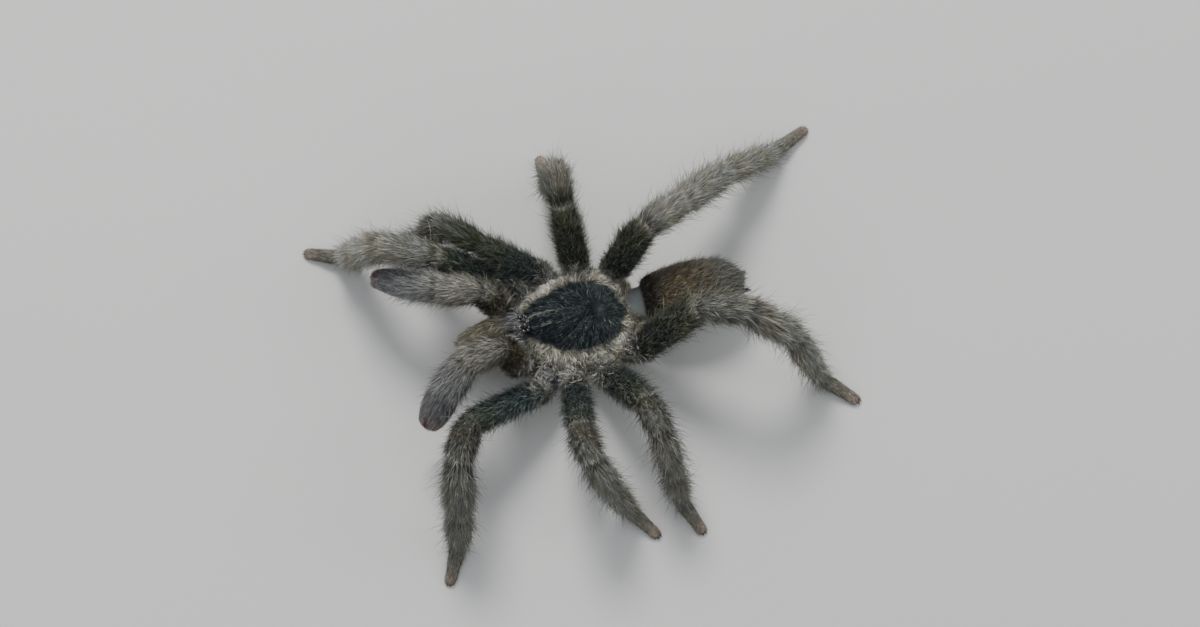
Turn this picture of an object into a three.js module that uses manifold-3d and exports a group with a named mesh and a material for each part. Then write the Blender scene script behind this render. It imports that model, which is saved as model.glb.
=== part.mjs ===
// Pink toe tarantula (Avicularia), a mature male, as a still life-size model.
// Millimetres, +Z up. The head faces -Y and the animal's left side is +X.
// The eight feet stand on the plane Z = 0, and the origin is the middle of
// the model's outline on that plane.
import * as THREE from 'three';
import { mergeVertices } from 'three/addons/utils/BufferGeometryUtils.js';
import Module from 'manifold-3d';

const wasm = await Module();
wasm.setup();

// ---------------------------------------------------------------- sizes
const GAP = 0.14;               // clearance between neighbouring solids
const SIDES = 9;                // facets round a limb
const FOOT_SIDES = 8;           // facets round a metatarsus and tarsus
const BODY_SIDES = 18;          // facets round the abdomen
const FILLET = 3.0;             // bend radius of a limb's axis at a joint
const JOINT_WAIST = 0.88;       // how far a limb narrows at a joint
const ANKLE_HEIGHT = 1.6;       // axis height where the tarsus begins
const TOE_HEIGHT = 0.38;        // axis height at the tip of the tarsus
const CENTRE = [3.35, 4.06];    // middle of the outline before it is centred

const BODY_X = 0.25;             // the body's middle line

const CARAPACE = {
  centreY: 0.3, halfLength: 9.15, halfWidth: 7.6, taper: 0.17,
  power: 2.35, floor: 4.6, rim: 5.1, rise: 3.9,
  caput: 0.8, fovea: 0.5, foveaY: 4.2, brow: 4,
};
const STERNUM = { centreY: -0.2, halfLength: 6.0, halfWidth: 3.0, bottom: 1.8, top: 4.4 };
const ABDOMEN = { front: 11.0, rear: 27.1, x: 0.4, z: 6.0, halfWidth: 4.75, halfHeight: 4.25 };
const PEDICEL = { from: 8.4, to: 12.6, x: BODY_X, z: 5.6, halfWidth: 3.1, halfHeight: 2.1 };
const CHELICERA = { x: 1.8, halfWidth: 1.7, halfHeight: 2.05, from: -7.4, to: -17.4 };
const EYES = { y: -7.45, z: 8.65, halfWidth: 1.5, halfLength: 1.1, height: 1.05, main: 0.38 };

// Half-thickness across and from top to bottom for coxa, femur, patella,
// tibia, metatarsus and tarsus, out to the tips of the lying coat.
const GIRTH = {
  leg_1: [[1.95, 1.9], [2.15, 2.25], [2.35, 2.3], [2.45, 2.4], [2.05, 2.0], [1.3, 1.15]],
  leg_2: [[2.0, 1.9], [2.3, 2.35], [2.4, 2.35], [2.4, 2.35], [1.95, 1.9], [1.25, 1.15]],
  leg_3: [[2.0, 1.9], [2.55, 2.55], [2.45, 2.35], [2.4, 2.35], [1.95, 1.9], [1.3, 1.15]],
  leg_4: [[2.1, 1.95], [2.65, 2.65], [2.65, 2.55], [2.6, 2.5], [2.15, 2.1], [1.3, 1.15]],
  palp_left: [[1.7, 1.8], [1.85, 2.2], [2.5, 2.3], [2.85, 2.4], [2.9, 2.3]],
  palp_right: [[1.7, 1.8], [1.85, 2.2], [2.35, 2.4], [2.4, 2.6], [2.3, 2.6]],
};

// Each limb starts beside the sternum, turns up at the hip and then follows
// its segments. yaw turns round +Z from +X and pitch is above the floor. The
// last two pitches of a leg follow from the floor.
const LIMBS = {
  palp_left: { kind: 'palp_left', inner: [2.8, -6, 3.4], hip: [5.2, -9.6, 4.3],
    length: [9.8, 6.1, 6.2, 6], yaw: [-97, -78, -56, -53], pitch: [76, 16, -32, -45] },
  palp_right: { kind: 'palp_right', inner: [-2, -6, 3.4], hip: [-4.4, -9.6, 4.3],
    length: [9.9, 6.2, 6.4, 6], yaw: [-100, -102.5, -123, -131], pitch: [72, 6, -21, -30] },
  leg_left_1: { kind: 'leg_1', inner: [3.6, -4, 3.4], hip: [9.6, -6.8, 4.4],
    length: [15.8, 9.2, 9.9, 7.8, 5.5], yaw: [-68, -25, -17, -20, -28], pitch: [27, 36, -57] },
  leg_right_1: { kind: 'leg_1', inner: [-2.8, -4, 3.4], hip: [-8.2, -6.9, 4.4],
    length: [15.3, 8.4, 9.4, 7.8, 6.2], yaw: [-109, -111, -135, -135, -117], pitch: [39, 17, -58] },
  leg_left_2: { kind: 'leg_2', inner: [3.8, -1.2, 3.4], hip: [9.5, -2.1, 4.4],
    length: [13.2, 8.2, 9, 7.8, 5.3], yaw: [-9, -1, 38, 59, 34], pitch: [34, 39, -65] },
  leg_right_2: { kind: 'leg_2', inner: [-3, -1.2, 3.4], hip: [-8.5, -2.1, 4.4],
    length: [13.4, 7.8, 9.1, 8, 5.9], yaw: [-113, -130, -136, -111, -112], pitch: [44, 13, -75] },
  leg_left_3: { kind: 'leg_3', inner: [3.8, 1.7, 3.4], hip: [9.4, 3, 4.4],
    length: [11.9, 6.8, 7.6, 8, 5.5], yaw: [25, 5, 7, 17, 21], pitch: [35, 30, -45] },
  leg_right_3: { kind: 'leg_3', inner: [-3, 1.7, 3.4], hip: [-8.5, 3, 4.4],
    length: [12.5, 6.4, 7.7, 8.2, 5.6], yaw: [184, 177, 178, 182, 182], pitch: [61, 15, -80] },
  leg_left_4: { kind: 'leg_4', inner: [3.4, 4.6, 3.4], hip: [7.3, 8.4, 4.4],
    length: [15.4, 7.5, 11.1, 11.6, 6.3], yaw: [91, 61, 66, 42, 44], pitch: [49, 26, -44] },
  leg_right_4: { kind: 'leg_4', inner: [-2.6, 4.6, 3.4], hip: [-6.5, 8.4, 4.4],
    length: [13.4, 7.8, 12.4, 12.9, 6.7], yaw: [102, 118, 121, 115, 116], pitch: [67, -19, -27] },
};

const COLOUR = {
  coxa: 0x6b675c, femur: 0x262b2b, patella: 0x8a867a, foot: 0x7c6f63, palp: 0x827f78,
  carapace: 0x2b3435, sternum: 0x2c2a26, abdomen: 0x4a4235, pedicel: 0x8b8f8f,
  chelicera: 0x6a6356, fang: 0x14100f, eye: 0x0b0c0e, bulb: 0x4a1a14, spinneret: 0x3a352c,
};

// -------------------------------------------------------------- helpers
const vec = (x, y, z) => new THREE.Vector3(x, y, z);
const rad = THREE.MathUtils.degToRad;
const UP = vec(0, 0, 1);
const isPalp = (limb) => limb.kind.startsWith('palp');

function orient(geometry) {
  const p = geometry.attributes.position, index = geometry.index;
  const a = vec(), b = vec(), c = vec();
  let volume = 0;
  for (let i = 0; i < index.count; i += 3) {
    a.fromBufferAttribute(p, index.getX(i));
    b.fromBufferAttribute(p, index.getX(i + 1));
    c.fromBufferAttribute(p, index.getX(i + 2));
    volume += a.dot(b.cross(c));
  }
  if (volume < 0) {
    for (let i = 0; i < index.count; i += 3) {
      const t = index.getX(i);
      index.setX(i, index.getX(i + 1));
      index.setX(i + 1, t);
    }
  }
  return geometry;
}

// Closed skin through rings of points, ended by a fan to a pole at each end.
function loft(rings, first, last) {
  const n = rings[0].length, points = rings.flat().concat([first, last]);
  const s = rings.length * n, e = s + 1, index = [];
  for (let i = 0; i + 1 < rings.length; i++) {
    for (let j = 0; j < n; j++) {
      const k = (j + 1) % n, a = i * n + j, b = i * n + k, c = a + n, d = b + n;
      index.push(a, b, d, a, d, c);
    }
  }
  const o = (rings.length - 1) * n;
  for (let j = 0; j < n; j++) {
    const k = (j + 1) % n;
    index.push(s, k, j, e, o + j, o + k);
  }
  const geometry = new THREE.BufferGeometry().setFromPoints(points);
  geometry.setIndex(index);
  return orient(geometry);
}

function solid(geometry) {
  const g = geometry.clone();
  for (const name of Object.keys(g.attributes)) if (name !== 'position') g.deleteAttribute(name);
  const merged = mergeVertices(g, 1e-5);
  return new wasm.Manifold(new wasm.Mesh({ numProp: 3,
    vertProperties: new Float32Array(merged.attributes.position.array),
    triVerts: new Uint32Array(merged.index.array) }));
}

function less(body, ...others) {
  return others.reduce((a, b) => a.subtract(b), body);
}

function shapeOf(body) {
  const m = body.getMesh();
  const geometry = new THREE.BufferGeometry();
  geometry.setAttribute('position', new THREE.BufferAttribute(new Float32Array(m.vertProperties), 3));
  geometry.setIndex(Array.from(m.triVerts));
  return geometry;
}

// An ellipse of points about a centre, across the direction `along`.
function ring(centre, along, across, high, sides = SIDES, turn = 0) {
  const top = UP.clone().addScaledVector(along, -UP.dot(along)).normalize();
  const side = vec().crossVectors(along, top);
  const points = [];
  for (let j = 0; j < sides; j++) {
    const a = turn + (2 * Math.PI * j) / sides;
    points.push(centre.clone().addScaledVector(side, across * Math.cos(a)).addScaledVector(top, high * Math.sin(a)));
  }
  return points;
}

// ---------------------------------------------------------------- limbs
function axisOf(limb) {
  const points = [vec(...limb.inner), vec(...limb.hip)];
  const leg = !isPalp(limb);
  limb.length.forEach((length, i) => {
    const from = points[points.length - 1];
    let pitch = rad(limb.pitch[i] ?? 0);
    if (leg && i === 3) pitch = -Math.asin((from.z - ANKLE_HEIGHT) / length);
    if (leg && i === 4) pitch = -Math.asin((ANKLE_HEIGHT - TOE_HEIGHT) / length);
    const yaw = rad(limb.yaw[i]);
    points.push(from.clone().add(vec(Math.cos(pitch) * Math.cos(yaw), Math.cos(pitch) * Math.sin(yaw),
      Math.sin(pitch)).multiplyScalar(length)));
  });
  return points;
}

// Stations along a limb: straight runs with a rounded bend at each joint.
// A station knows its segment and its share of that segment's length.
function stationsOf(points) {
  const n = points.length - 1;
  const dir = [];
  for (let k = 0; k < n; k++) dir.push(points[k + 1].clone().sub(points[k]).normalize());
  const trim = [0], angle = [0];
  for (let k = 1; k < n; k++) {
    const a = dir[k - 1].angleTo(dir[k]);
    const room = 0.42 * Math.min(points[k].distanceTo(points[k - 1]), points[k].distanceTo(points[k + 1]));
    trim.push(Math.min(FILLET * Math.tan(a / 2), room));
    angle.push(a);
  }
  trim.push(0); angle.push(0);
  const bend = (k, share) => {                 // share 0..1 of the arc at joint k
    const radius = trim[k] / Math.tan(angle[k] / 2);
    const start = points[k].clone().addScaledVector(dir[k - 1], -trim[k]);
    const normal = dir[k].clone().addScaledVector(dir[k - 1], -dir[k].dot(dir[k - 1])).normalize();
    const a = angle[k] * share;
    return {
      p: start.addScaledVector(dir[k - 1], radius * Math.sin(a)).addScaledVector(normal, radius * (1 - Math.cos(a))),
      t: dir[k - 1].clone().multiplyScalar(Math.cos(a)).addScaledVector(normal, Math.sin(a)).normalize(),
    };
  };
  const list = [];
  for (let k = 0; k < n; k++) {
    const run = [];
    if (k > 0) {
      const steps = Math.max(1, Math.ceil(angle[k] / 2 / rad(30)));
      for (let i = 0; i < steps; i++) run.push(bend(k, 0.5 + (0.5 * i) / steps));
    }
    const a = points[k].clone().addScaledVector(dir[k], trim[k]);
    const b = points[k + 1].clone().addScaledVector(dir[k], -trim[k + 1]);
    const pieces = k === 1 || k > 3 ? 3 : 2;
    for (let i = 0; i <= pieces; i++) run.push({ p: a.clone().lerp(b, i / pieces), t: dir[k].clone() });
    if (k < n - 1) {
      const steps = Math.max(1, Math.ceil(angle[k + 1] / 2 / rad(30)));
      for (let i = 1; i <= steps; i++) run.push(bend(k + 1, (0.5 * i) / steps));
    }
    let total = 0;
    run.forEach((s, i) => { total += i ? s.p.distanceTo(run[i - 1].p) : 0; s.run = total; });
    run.forEach((s) => { s.segment = k; s.u = s.run / total; });
    list.push(run);
  }
  return list;
}

function girthAt(limb, k, u) {
  const table = GIRTH[limb.kind], last = table.length - 1;
  const waist = (j) => [0, 1].map((i) => {
    if (j === 0) return 0.66 * table[0][i];
    if (j > last) return 0.8 * table[last][i];
    const club = isPalp(limb) && j === last ? 1.08 : 1;
    return JOINT_WAIST * club * 0.5 * (table[j - 1][i] + table[j][i]);
  });
  const a = waist(k), b = waist(k + 1), swell = Math.pow(Math.sin(Math.PI * Math.min(1, Math.max(0, u))), 0.6);
  return [0, 1].map((i) => a[i] + (b[i] - a[i]) * u + (table[k][i] - 0.5 * (a[i] + b[i])) * swell);
}

// One solid from segment `from` to segment `to`, its ends standing off the
// joint planes by half the gap. `grow` swells it, to cut its neighbours.
function limbSolid(limb, from, to, grow = 0) {
  const runs = stationsOf(axisOf(limb)), last = runs.length - 1, rings = [];
  for (let k = from; k <= to; k++) {
    runs[k].forEach((s, i) => {
      if (k > from && i === 0) return;
      const [a, b] = girthAt(limb, k, s.u);
      const open = k === from && i === 0 && k > 0, shut = k === to && k < last && i === runs[k].length - 1;
      const shift = open ? GAP / 2 - grow : shut ? grow - GAP / 2 : 0;
      rings.push({ p: s.p.clone().addScaledVector(s.t, shift), t: s.t, a: a + grow, b: b + grow });
    });
  }
  const start = rings[0], end = rings[rings.length - 1];
  let tip = end.p.clone();
  if (to === last) {
    const tail = 0.42 * end.b;
    rings.push({ p: end.p.clone().addScaledVector(end.t, tail), t: end.t, a: 0.66 * end.a, b: 0.66 * end.b });
    tip = end.p.clone().addScaledVector(end.t, isPalp(limb) ? 0.8 * tail : 1.5 * tail);
  }
  const sides = !isPalp(limb) && from >= 4 ? FOOT_SIDES : SIDES;
  return solid(loft(rings.map((r) => ring(r.p, r.t, r.a, r.b, sides)), start.p, tip));
}

// ----------------------------------------------------------------- body
function carapaceTop(x, y, t) {
  const c = CARAPACE, front = Math.exp(-((x / 4.2) ** 2) - ((y + 8.5) / 4) ** 2);
  const dome = Math.pow(Math.max(0, 1 - Math.pow(t, 2.5 + c.brow * front)), 0.8);
  let z = c.rim + c.rise * dome;
  z += c.caput * dome * Math.exp(-((x / 3.3) ** 2) - ((y + 4.9) / 3.9) ** 2);
  z -= c.fovea * Math.exp(-((x / 1.3) ** 2) - ((y - c.foveaY) / 0.9) ** 2);
  return z;
}

function carapace(grow = 0) {
  const c = CARAPACE, sectors = 26, steps = [0.22, 0.42, 0.6, 0.76, 0.9, 1];
  const outline = (a, t) => {
    const s = Math.sin(a), k = Math.cos(a);
    const y = (c.halfLength + grow) * t * Math.sign(s) * Math.pow(Math.abs(s), 2 / c.power);
    const x = (c.halfWidth + grow) * t * Math.sign(k) * Math.pow(Math.abs(k), 2 / c.power) * (1 + c.taper * (y / c.halfLength));
    return [x, c.centreY + y];
  };
  const rings = steps.map((t) => Array.from({ length: sectors }, (_, j) => {
    const [x, y] = outline((2 * Math.PI * j) / sectors, t);
    return vec(BODY_X + x, y, carapaceTop(x, y, t) + grow);
  }));
  rings.push(Array.from({ length: sectors }, (_, j) => {
    const [x, y] = outline((2 * Math.PI * j) / sectors, 0.97);
    return vec(BODY_X + x, y, c.floor - grow);
  }));
  return solid(loft(rings, vec(BODY_X, c.centreY, carapaceTop(0, c.centreY, 0) + grow), vec(BODY_X, c.centreY, c.floor - grow)));
}

// Rings of an egg-shaped body along +Y.
function egg(b, profile, sides, grow = 0) {
  const along = vec(0, 1, 0);
  const rings = profile.map(([u, r, dz]) => ring(
    vec(b.x ?? 0, b.from + (b.to - b.from) * u, b.z + (dz ?? 0)), along,
    b.halfWidth * r + grow, b.halfHeight * r + grow, sides));
  return solid(loft(rings, vec(b.x ?? 0, b.from - grow, b.z + (profile[0][2] ?? 0)),
    vec(b.x ?? 0, b.to + grow, b.z + (profile[profile.length - 1][2] ?? 0))));
}

const ABDOMEN_PROFILE = [[0.02, 0.56, -0.1], [0.06, 0.76], [0.13, 0.88], [0.26, 0.96], [0.42, 1],
  [0.57, 0.99], [0.71, 0.93], [0.83, 0.8], [0.93, 0.57, 0.1], [0.98, 0.32, 0.15]];
const abdomen = (grow = 0) => egg({ ...ABDOMEN, from: ABDOMEN.front, to: ABDOMEN.rear }, ABDOMEN_PROFILE, BODY_SIDES, grow);
const pedicel = () => egg(PEDICEL, [[0, 1], [0.5, 0.86], [1, 0.95]], 12);

function sternum(grow = 0) {
  const s = STERNUM, sides = 14;
  const level = (z, k) => Array.from({ length: sides }, (_, j) => {
    const a = (2 * Math.PI * j) / sides;
    return vec(BODY_X + (s.halfWidth * k + grow) * Math.cos(a), s.centreY + (s.halfLength * k + grow) * Math.sin(a), z);
  });
  return solid(loft([level(s.bottom - grow, 0.72), level(s.bottom + 0.5, 0.95), level(s.top - 0.4, 1), level(s.top + grow, 0.95)],
    vec(BODY_X, s.centreY, s.bottom - grow), vec(BODY_X, s.centreY, s.top + grow)));
}

function chelicera(side, grow = 0) {
  const c = CHELICERA;
  const stations = [[0, 0.78, 6.3], [0.12, 0.92, 6.35], [0.32, 1, 6.3], [0.55, 0.99, 5.9], [0.76, 0.9, 5.2], [0.92, 0.7, 4.4], [1, 0.42, 3.95]];
  const at = ([u, , z]) => vec(BODY_X + side * (c.x - 0.12 * u), c.from + (c.to - c.from) * u, z);
  const rings = stations.map((s, i) => {
    const a = at(stations[Math.max(0, i - 1)]), b = at(stations[Math.min(stations.length - 1, i + 1)]);
    return ring(at(s), b.sub(a).normalize(), c.halfWidth * s[1] + grow, c.halfHeight * s[1] + grow, 10);
  });
  const first = at(stations[0]), last = at([1.02, 0, 3.85]);
  first.y += grow; last.y -= grow;
  return solid(loft(rings, first, last));
}

// A tapering horn swept along a curve, for the fangs and the spinnerets.
function horn(curve, radius, sides, steps, blunt = 0.2) {
  const rings = [];
  for (let i = 0; i < steps; i++) {
    const u = i / steps;
    rings.push(ring(curve.getPoint(u), curve.getTangent(u), radius(u), radius(u), sides));
  }
  rings.push(ring(curve.getPoint(1), curve.getTangent(1), radius(1), radius(1), sides));
  const end = curve.getPoint(1).addScaledVector(curve.getTangent(1), blunt);
  return solid(loft(rings, curve.getPoint(0), end));
}

function fang(side) {
  const x = side * CHELICERA.x;
  const at = (k, y, z) => vec(BODY_X + x * k, y, z);
  const curve = new THREE.CatmullRomCurve3([at(1, -17.3, 2.15), at(0.98, -16.9, 1.4),
    at(0.9, -15.4, 1.0), at(0.78, -13.9, 1.05), at(0.66, -12.6, 1.4)]);
  return horn(curve, (u) => 0.55 - 0.29 * u, 7, 6);
}

function spinneret(side) {
  const x = ABDOMEN.x + side * 1.05;
  const curve = new THREE.CatmullRomCurve3([vec(x, 25.4, 4.5), vec(x + side * 0.2, 26.9, 4.1), vec(x + side * 0.45, 28.5, 4.35)]);
  return horn(curve, (u) => 0.66 - 0.2 * u, 7, 4);
}

// A pear-shaped bulb with its short spur, under the tip of a male palp.
function bulb(limb) {
  const points = axisOf(limb), end = points[points.length - 1];
  const along = end.clone().sub(points[points.length - 2]).normalize();
  const down = UP.clone().addScaledVector(along, -UP.dot(along)).normalize().negate();
  const a = end.clone().addScaledVector(along, -2.2).addScaledVector(down, GIRTH[limb.kind][4][1] + 0.1);
  const b = a.clone().addScaledVector(along, 1.5).addScaledVector(down, 0.35);
  const c = b.clone().addScaledVector(along, 1.6).addScaledVector(down, -0.5);
  const curve = new THREE.CatmullRomCurve3([a, b, c]);
  return horn(curve, (u) => 0.3 + 0.55 * Math.sin(Math.PI * Math.pow(1 - u, 1.4) * 0.86), 7, 5);
}

function blob(centre, size, sides = 10, layers = 6, grow = 0) {
  const geometry = new THREE.SphereGeometry(1, sides, layers);
  geometry.rotateX(Math.PI / 2);
  geometry.scale(size[0] + grow, size[1] + grow, size[2] + grow);
  geometry.translate(...centre);
  return solid(geometry);
}

const tubercle = (grow = 0) => blob([BODY_X, EYES.y, EYES.z], [EYES.halfWidth, EYES.halfLength, EYES.height], 10, 5, grow);
const mainEye = (side, grow = 0) => blob([BODY_X + side * 0.46, EYES.y - 0.12, EYES.z + 0.9], [EYES.main, EYES.main, EYES.main], 10, 5, grow);
function sideEyes(side, grow = 0) {
  const front = blob([BODY_X + side * 1.2, EYES.y - 0.5, EYES.z + 0.46], [0.34, 0.4, 0.34], 8, 4, grow);
  const back = blob([BODY_X + side * 1.22, EYES.y + 0.16, EYES.z + 0.57], [0.3, 0.36, 0.3], 7, 4, grow);
  const middle = blob([BODY_X + side * 0.88, EYES.y + 0.42, EYES.z + 0.76], [0.26, 0.24, 0.22], 6, 4, grow);
  return front.add(back).add(middle);
}

// ------------------------------------------------------------- assembly
const model = new THREE.Group();
model.name = 'pink_toe_tarantula';
model.position.set(-CENTRE[0], -CENTRE[1], 0);

function put(name, body, colour, roughness, parent = model) {
  const geometry = shapeOf(body);
  geometry.computeBoundingBox();
  const pivot = geometry.boundingBox.getCenter(vec());
  pivot.set(Math.round(pivot.x), Math.round(pivot.y), Math.round(pivot.z));
  geometry.translate(-pivot.x, -pivot.y, -pivot.z);
  const material = new THREE.MeshStandardMaterial({ color: colour, roughness, metalness: 0 });
  const mesh = new THREE.Mesh(geometry, material);
  mesh.name = name;
  mesh.position.copy(pivot);
  parent.add(mesh);
}

const ground = solid(new THREE.BoxGeometry(200, 200, 20).translate(0, 0, -10));
const shell = carapace(), shellCut = carapace(GAP);
const plate = sternum(), plateCut = sternum(GAP);
const belly = abdomen(), bellyCut = abdomen(GAP), browCut = tubercle(GAP);

put('carapace', shell.subtract(browCut), COLOUR.carapace, 0.55);
put('sternum', plate, COLOUR.sternum, 0.8);
put('abdomen', belly, COLOUR.abdomen, 0.85);

const jaws = { left: less(chelicera(1), shellCut, plateCut, browCut), right: less(chelicera(-1), shellCut, plateCut, browCut) };
const jawCuts = [chelicera(1, GAP), chelicera(-1, GAP)];
const taken = [shellCut, plateCut, bellyCut, ...jawCuts];

const names = Object.keys(LIMBS);
const used = [];                                  // cutters for what comes later
for (const name of names) {
  const limb = LIMBS[name], last = GIRTH[limb.kind].length - 1;
  const group = new THREE.Group();
  group.name = name;
  model.add(group);
  const palp = isPalp(limb);
  const spans = palp
    ? [['femur', 1, 1, COLOUR.femur], ['patella', 2, 2, COLOUR.patella], ['tibia_tarsus', 3, last, COLOUR.palp]]
    : [['femur', 1, 1, COLOUR.femur], ['patella_tibia', 2, 3, COLOUR.patella], ['metatarsus_tarsus', 4, last, COLOUR.foot]];
  for (const [part, from, to, colour] of spans) {
    const near = from === 1 ? [...taken, ...used] : [];
    let body = less(limbSolid(limb, from, to), ...near);
    if (!palp && to === last) body = body.subtract(ground);
    put(`${name}_${part}`, body, colour, 0.8, group);
  }
  used.push(limbSolid(limb, 1, 1, GAP));
}
const hips = [];
for (const name of names) {
  const limb = LIMBS[name];
  const others = used.filter((_, i) => names[i] !== name);
  const body = less(limbSolid(limb, 0, 0), ...taken, ...others, ...hips);
  const parts = body.decompose().sort((a, b) => b.volume() - a.volume());
  put(`${name}_coxa`, parts[0], COLOUR.coxa, 0.85);
  hips.push(limbSolid(limb, 0, 0, GAP));
}
put('pedicel', less(pedicel(), shellCut, bellyCut, plateCut, ...hips, ...used), COLOUR.pedicel, 0.7);

const fangs = { left: fang(1), right: fang(-1) };
for (const [side, s] of [['left', 1], ['right', -1]]) {
  put(`chelicera_${side}`, jaws[side], COLOUR.chelicera, 0.75);
  put(`fang_${side}`, fangs[side], COLOUR.fang, 0.25);
  put(`spinneret_${side}`, less(spinneret(s), bellyCut), COLOUR.spinneret, 0.8);
  const limb = LIMBS[`palp_${side}`];
  put(`palpal_bulb_${side}`, less(bulb(limb), limbSolid(limb, 3, 4, GAP)), COLOUR.bulb, 0.3);
}

const eyeCuts = [mainEye(1, 0.05), mainEye(-1, 0.05), sideEyes(1, 0.05), sideEyes(-1, 0.05)];
put('eye_tubercle', less(tubercle(), ...eyeCuts), COLOUR.eye, 0.5);
put('eye_main_left', mainEye(1), COLOUR.eye, 0.1);
put('eye_main_right', mainEye(-1), COLOUR.eye, 0.1);
put('eyes_side_left', sideEyes(1), COLOUR.eye, 0.1);
put('eyes_side_right', sideEyes(-1), COLOUR.eye, 0.1);

export default model;
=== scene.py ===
import math

import bpy
import numpy as np
from mathutils import Matrix, Vector


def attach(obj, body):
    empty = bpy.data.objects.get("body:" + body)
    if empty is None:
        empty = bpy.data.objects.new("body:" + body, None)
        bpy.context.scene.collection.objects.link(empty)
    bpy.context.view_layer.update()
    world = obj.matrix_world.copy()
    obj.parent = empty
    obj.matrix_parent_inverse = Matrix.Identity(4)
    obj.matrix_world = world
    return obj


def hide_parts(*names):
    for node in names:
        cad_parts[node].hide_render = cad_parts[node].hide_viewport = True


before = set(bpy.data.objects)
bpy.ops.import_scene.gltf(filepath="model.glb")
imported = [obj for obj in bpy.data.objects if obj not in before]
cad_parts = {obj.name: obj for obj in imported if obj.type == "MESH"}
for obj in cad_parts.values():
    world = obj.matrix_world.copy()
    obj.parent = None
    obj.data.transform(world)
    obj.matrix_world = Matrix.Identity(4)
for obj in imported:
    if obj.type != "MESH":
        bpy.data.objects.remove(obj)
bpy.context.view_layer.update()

RNG = np.random.default_rng(41)

# ------------------------------------------------------------ shared sizes
# The same body as the CAD part's, in millimetres before it is centred.
CENTRE = np.array([3.35, 4.06, 0.0])
BODY_X = 0.25
FILLET, WAIST = 3.0, 0.88
ANKLE, TOE = 1.6, 0.38
UP = np.array([0.0, 0.0, 1.0])

GIRTH = {
    "leg_1": [[1.95, 1.9], [2.15, 2.25], [2.35, 2.3], [2.45, 2.4], [2.05, 2.0], [1.3, 1.15]],
    "leg_2": [[2.0, 1.9], [2.3, 2.35], [2.4, 2.35], [2.4, 2.35], [1.95, 1.9], [1.25, 1.15]],
    "leg_3": [[2.0, 1.9], [2.55, 2.55], [2.45, 2.35], [2.4, 2.35], [1.95, 1.9], [1.3, 1.15]],
    "leg_4": [[2.1, 1.95], [2.65, 2.65], [2.65, 2.55], [2.6, 2.5], [2.15, 2.1], [1.3, 1.15]],
    "palp_left": [[1.7, 1.8], [1.85, 2.2], [2.5, 2.3], [2.85, 2.4], [2.9, 2.3]],
    "palp_right": [[1.7, 1.8], [1.85, 2.2], [2.35, 2.4], [2.4, 2.6], [2.3, 2.6]],
}
# Depth of the lying coat over the skin, for each segment of a limb.
COAT_DEPTH = {
    "leg_1": [0.35, 0.42, 0.6, 0.65, 0.52, 0.28],
    "leg_2": [0.35, 0.5, 0.78, 0.82, 0.68, 0.28],
    "leg_3": [0.35, 0.5, 0.78, 0.82, 0.68, 0.28],
    "leg_4": [0.35, 0.45, 0.68, 0.72, 0.6, 0.28],
    "palp_left": [0.35, 0.35, 0.55, 0.6, 0.5],
    "palp_right": [0.35, 0.35, 0.55, 0.6, 0.5],
}
LIMBS = {
    "palp_left": ("palp_left", [2.8, -6, 3.4], [5.2, -9.6, 4.3],
                  [9.8, 6.1, 6.2, 6], [-97, -78, -56, -53], [76, 16, -32, -45]),
    "palp_right": ("palp_right", [-2, -6, 3.4], [-4.4, -9.6, 4.3],
                   [9.9, 6.2, 6.4, 6], [-100, -102.5, -123, -131], [72, 6, -21, -30]),
    "leg_left_1": ("leg_1", [3.6, -4, 3.4], [9.6, -6.8, 4.4],
                   [15.8, 9.2, 9.9, 7.8, 5.5], [-68, -25, -17, -20, -28], [27, 36, -57]),
    "leg_right_1": ("leg_1", [-2.8, -4, 3.4], [-8.2, -6.9, 4.4],
                    [15.3, 8.4, 9.4, 7.8, 6.2], [-109, -111, -135, -135, -117], [39, 17, -58]),
    "leg_left_2": ("leg_2", [3.8, -1.2, 3.4], [9.5, -2.1, 4.4],
                   [13.2, 8.2, 9, 7.8, 5.3], [-9, -1, 38, 59, 34], [34, 39, -65]),
    "leg_right_2": ("leg_2", [-3, -1.2, 3.4], [-8.5, -2.1, 4.4],
                    [13.4, 7.8, 9.1, 8, 5.9], [-113, -130, -136, -111, -112], [44, 13, -75]),
    "leg_left_3": ("leg_3", [3.8, 1.7, 3.4], [9.4, 3, 4.4],
                   [11.9, 6.8, 7.6, 8, 5.5], [25, 5, 7, 17, 21], [35, 30, -45]),
    "leg_right_3": ("leg_3", [-3, 1.7, 3.4], [-8.5, 3, 4.4],
                    [12.5, 6.4, 7.7, 8.2, 5.6], [184, 177, 178, 182, 182], [61, 15, -80]),
    "leg_left_4": ("leg_4", [3.4, 4.6, 3.4], [7.3, 8.4, 4.4],
                   [15.4, 7.5, 11.1, 11.6, 6.3], [91, 61, 66, 42, 44], [49, 26, -44]),
    "leg_right_4": ("leg_4", [-2.6, 4.6, 3.4], [-6.5, 8.4, 4.4],
                    [13.4, 7.8, 12.4, 12.9, 6.7], [102, 118, 121, 115, 116], [67, -19, -27]),
}
FOVEA = np.array([BODY_X, 4.2])
EYE_Y, EYE_Z = -7.45, 8.65


def unit(v):
    return v / np.maximum(np.linalg.norm(v, axis=-1, keepdims=True), 1e-12)


def srgb(r, g, b):
    """A colour seen as r, g, b of 255, as light."""
    c = np.array([r, g, b], float) / 255
    return np.where(c < 0.04045, c / 12.92, ((c + 0.055) / 1.055) ** 2.4)


def smooth(x, a, b):
    t = np.clip((x - a) / (b - a), 0, 1)
    return t * t * (3 - 2 * t)


def mix(a, b, t):
    t = np.asarray(t)[..., None] if np.ndim(t) else t
    return a + (b - a) * t


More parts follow.
